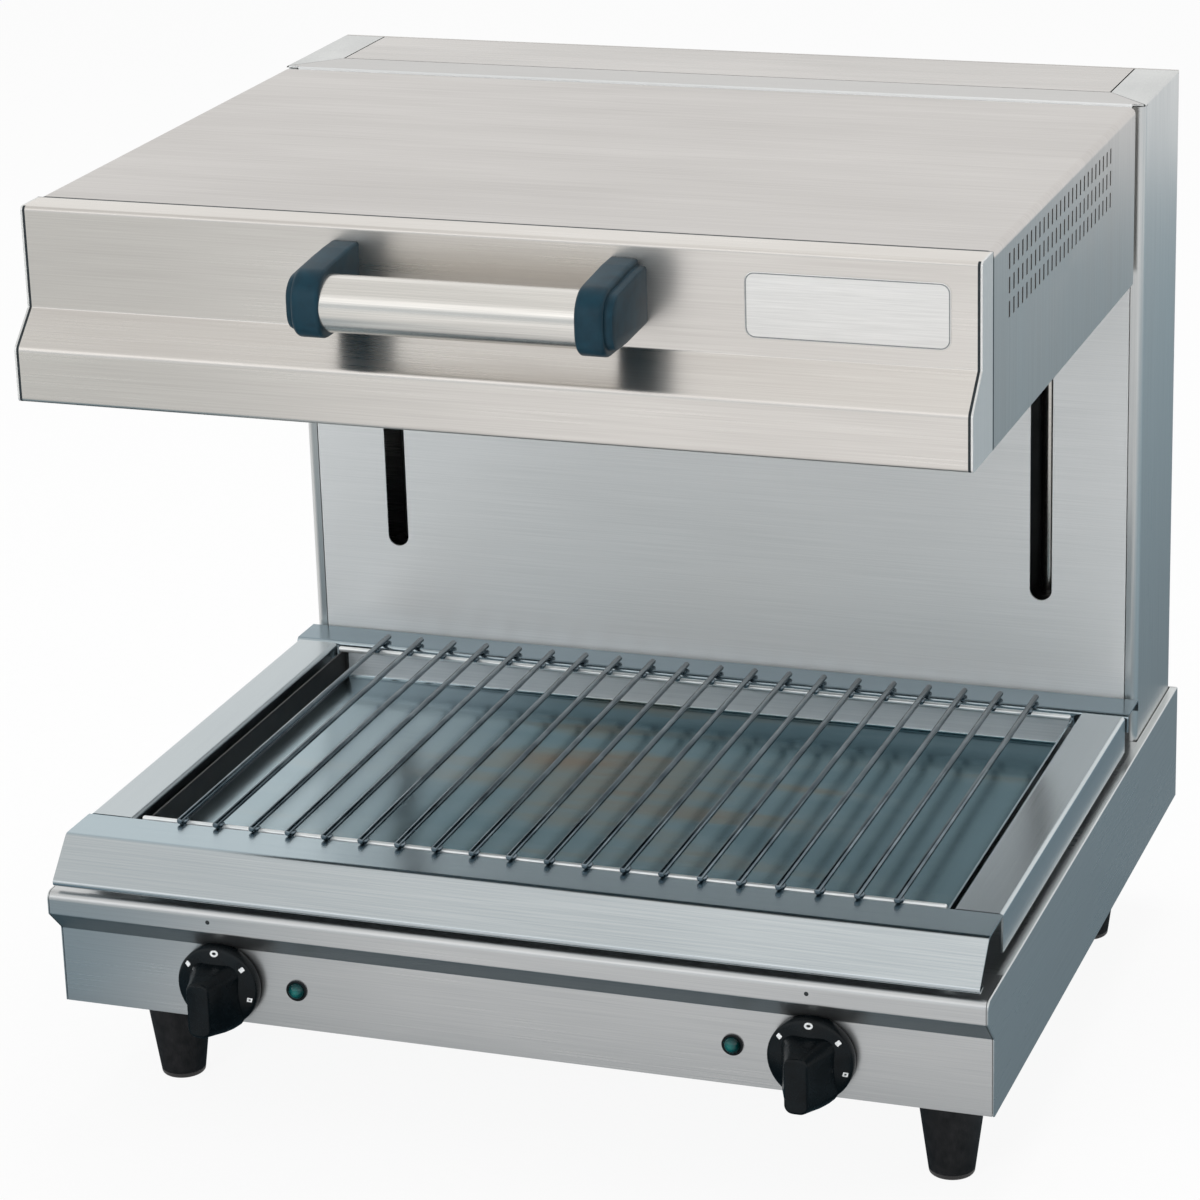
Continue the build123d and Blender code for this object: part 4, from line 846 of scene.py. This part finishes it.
ahead = {"Value": way.outputs["Y"], "From Min": 0.05, "From Max": -0.3}
front = add(tree, "ShaderNodeMapRange", ahead, interpolation_type="SMOOTHSTEP")
walls = {"Factor": front, first_colour: linear("#E0E0DF"), second_colour: wall}
room = add(tree, "ShaderNodeMix", walls, data_type="RGBA").outputs[mixed_colour]
aside = {"Value": way.outputs["X"], "From Min": -0.22, "From Max": -0.5}
left = add(tree, "ShaderNodeMapRange", aside, interpolation_type="SMOOTHSTEP")
above = {"Value": way.outputs["Z"], "From Min": 0.6, "From Max": 0.75}
high = add(tree, "ShaderNodeMapRange", above, interpolation_type="SMOOTHSTEP")
corner = add(tree, "ShaderNodeMath", {0: left, 1: high}, operation="MULTIPLY")
greyed = {"Factor": corner, first_colour: room, second_colour: linear("#BEBEBD")}
ceiling = add(tree, "ShaderNodeMix", greyed, data_type="RGBA").outputs[mixed_colour]
shades = {"Factor": mirrored, first_colour: linear("#FFFFFF"), second_colour: ceiling}
shown = add(tree, "ShaderNodeMix", shades, data_type="RGBA").outputs[mixed_colour]
# The room is white to the camera, a third brighter in the metal, and about half as strong as a light.
lifted = add(tree, "ShaderNodeMapRange", {"Value": mirrored, "To Min": 0.55, "To Max": 1.35})
level = add(tree, "ShaderNodeMix", {"Factor": ray.outputs["Is Camera Ray"], "A": lifted, "B": 1.0})
sky = add(tree, "ShaderNodeBackground", {"Color": shown, "Strength": level})
add(tree, "ShaderNodeOutputWorld", {"Surface": sky})

# Lamps: a soft lamp low on the left of the camera, and one overhead, both aimed at the middle of the grill.
# They light the grill but don't show in the metal, where the room and the cards do.
lamp_aim = Vector((0, 0, 0.3))
for name, place, size, power in (
    ("key_softbox", (-0.9, -3.0, 1.0), 1.6, 44.0),
    ("top_softbox", (0.2, 0.7, 3.2), 1.5, 42.0),
):
    lamp = bpy.data.lights.new(name, "AREA")
    lamp.shape = "SQUARE"
    lamp.size = size
    lamp.energy = power
    fixture = bpy.data.objects.new(name, lamp)
    bpy.context.scene.collection.objects.link(fixture)
    fixture.location = place
    fixture.rotation_euler = (lamp_aim - Vector(place)).to_track_quat("-Z", "Y").to_euler()
    fixture.visible_glossy = False

# Camera: stands to the right of the front and a little above, with a long lens, as the photograph does.
azimuth, elevation, roll = (math.radians(a) for a in (19.843, 19.409, -1.783))
camera_aim, camera_distance = Vector((-0.01768, 0.00271, 0.28869)), 2.62063
level_back = Vector((math.sin(azimuth), -math.cos(azimuth), 0))
back = level_back * math.cos(elevation) + Vector((0, 0, math.sin(elevation)))
right = Vector((0, 0, 1)).cross(back).normalized()
up = back.cross(right)
tilted_right = right * math.cos(roll) + up * math.sin(roll)
tilted_up = up * math.cos(roll) - right * math.sin(roll)
lens = bpy.data.cameras.new("photo_camera")
lens.lens = 122.74
lens.sensor_width = 36.0
camera = bpy.data.objects.new("photo_camera", lens)
bpy.context.scene.collection.objects.link(camera)
pose = Matrix((tilted_right, tilted_up, back)).transposed().to_4x4()
camera.matrix_world = Matrix.Translation(camera_aim + back * camera_distance) @ pose
bpy.context.scene.camera = camera
bpy.context.scene.view_settings.view_transform = "Standard"
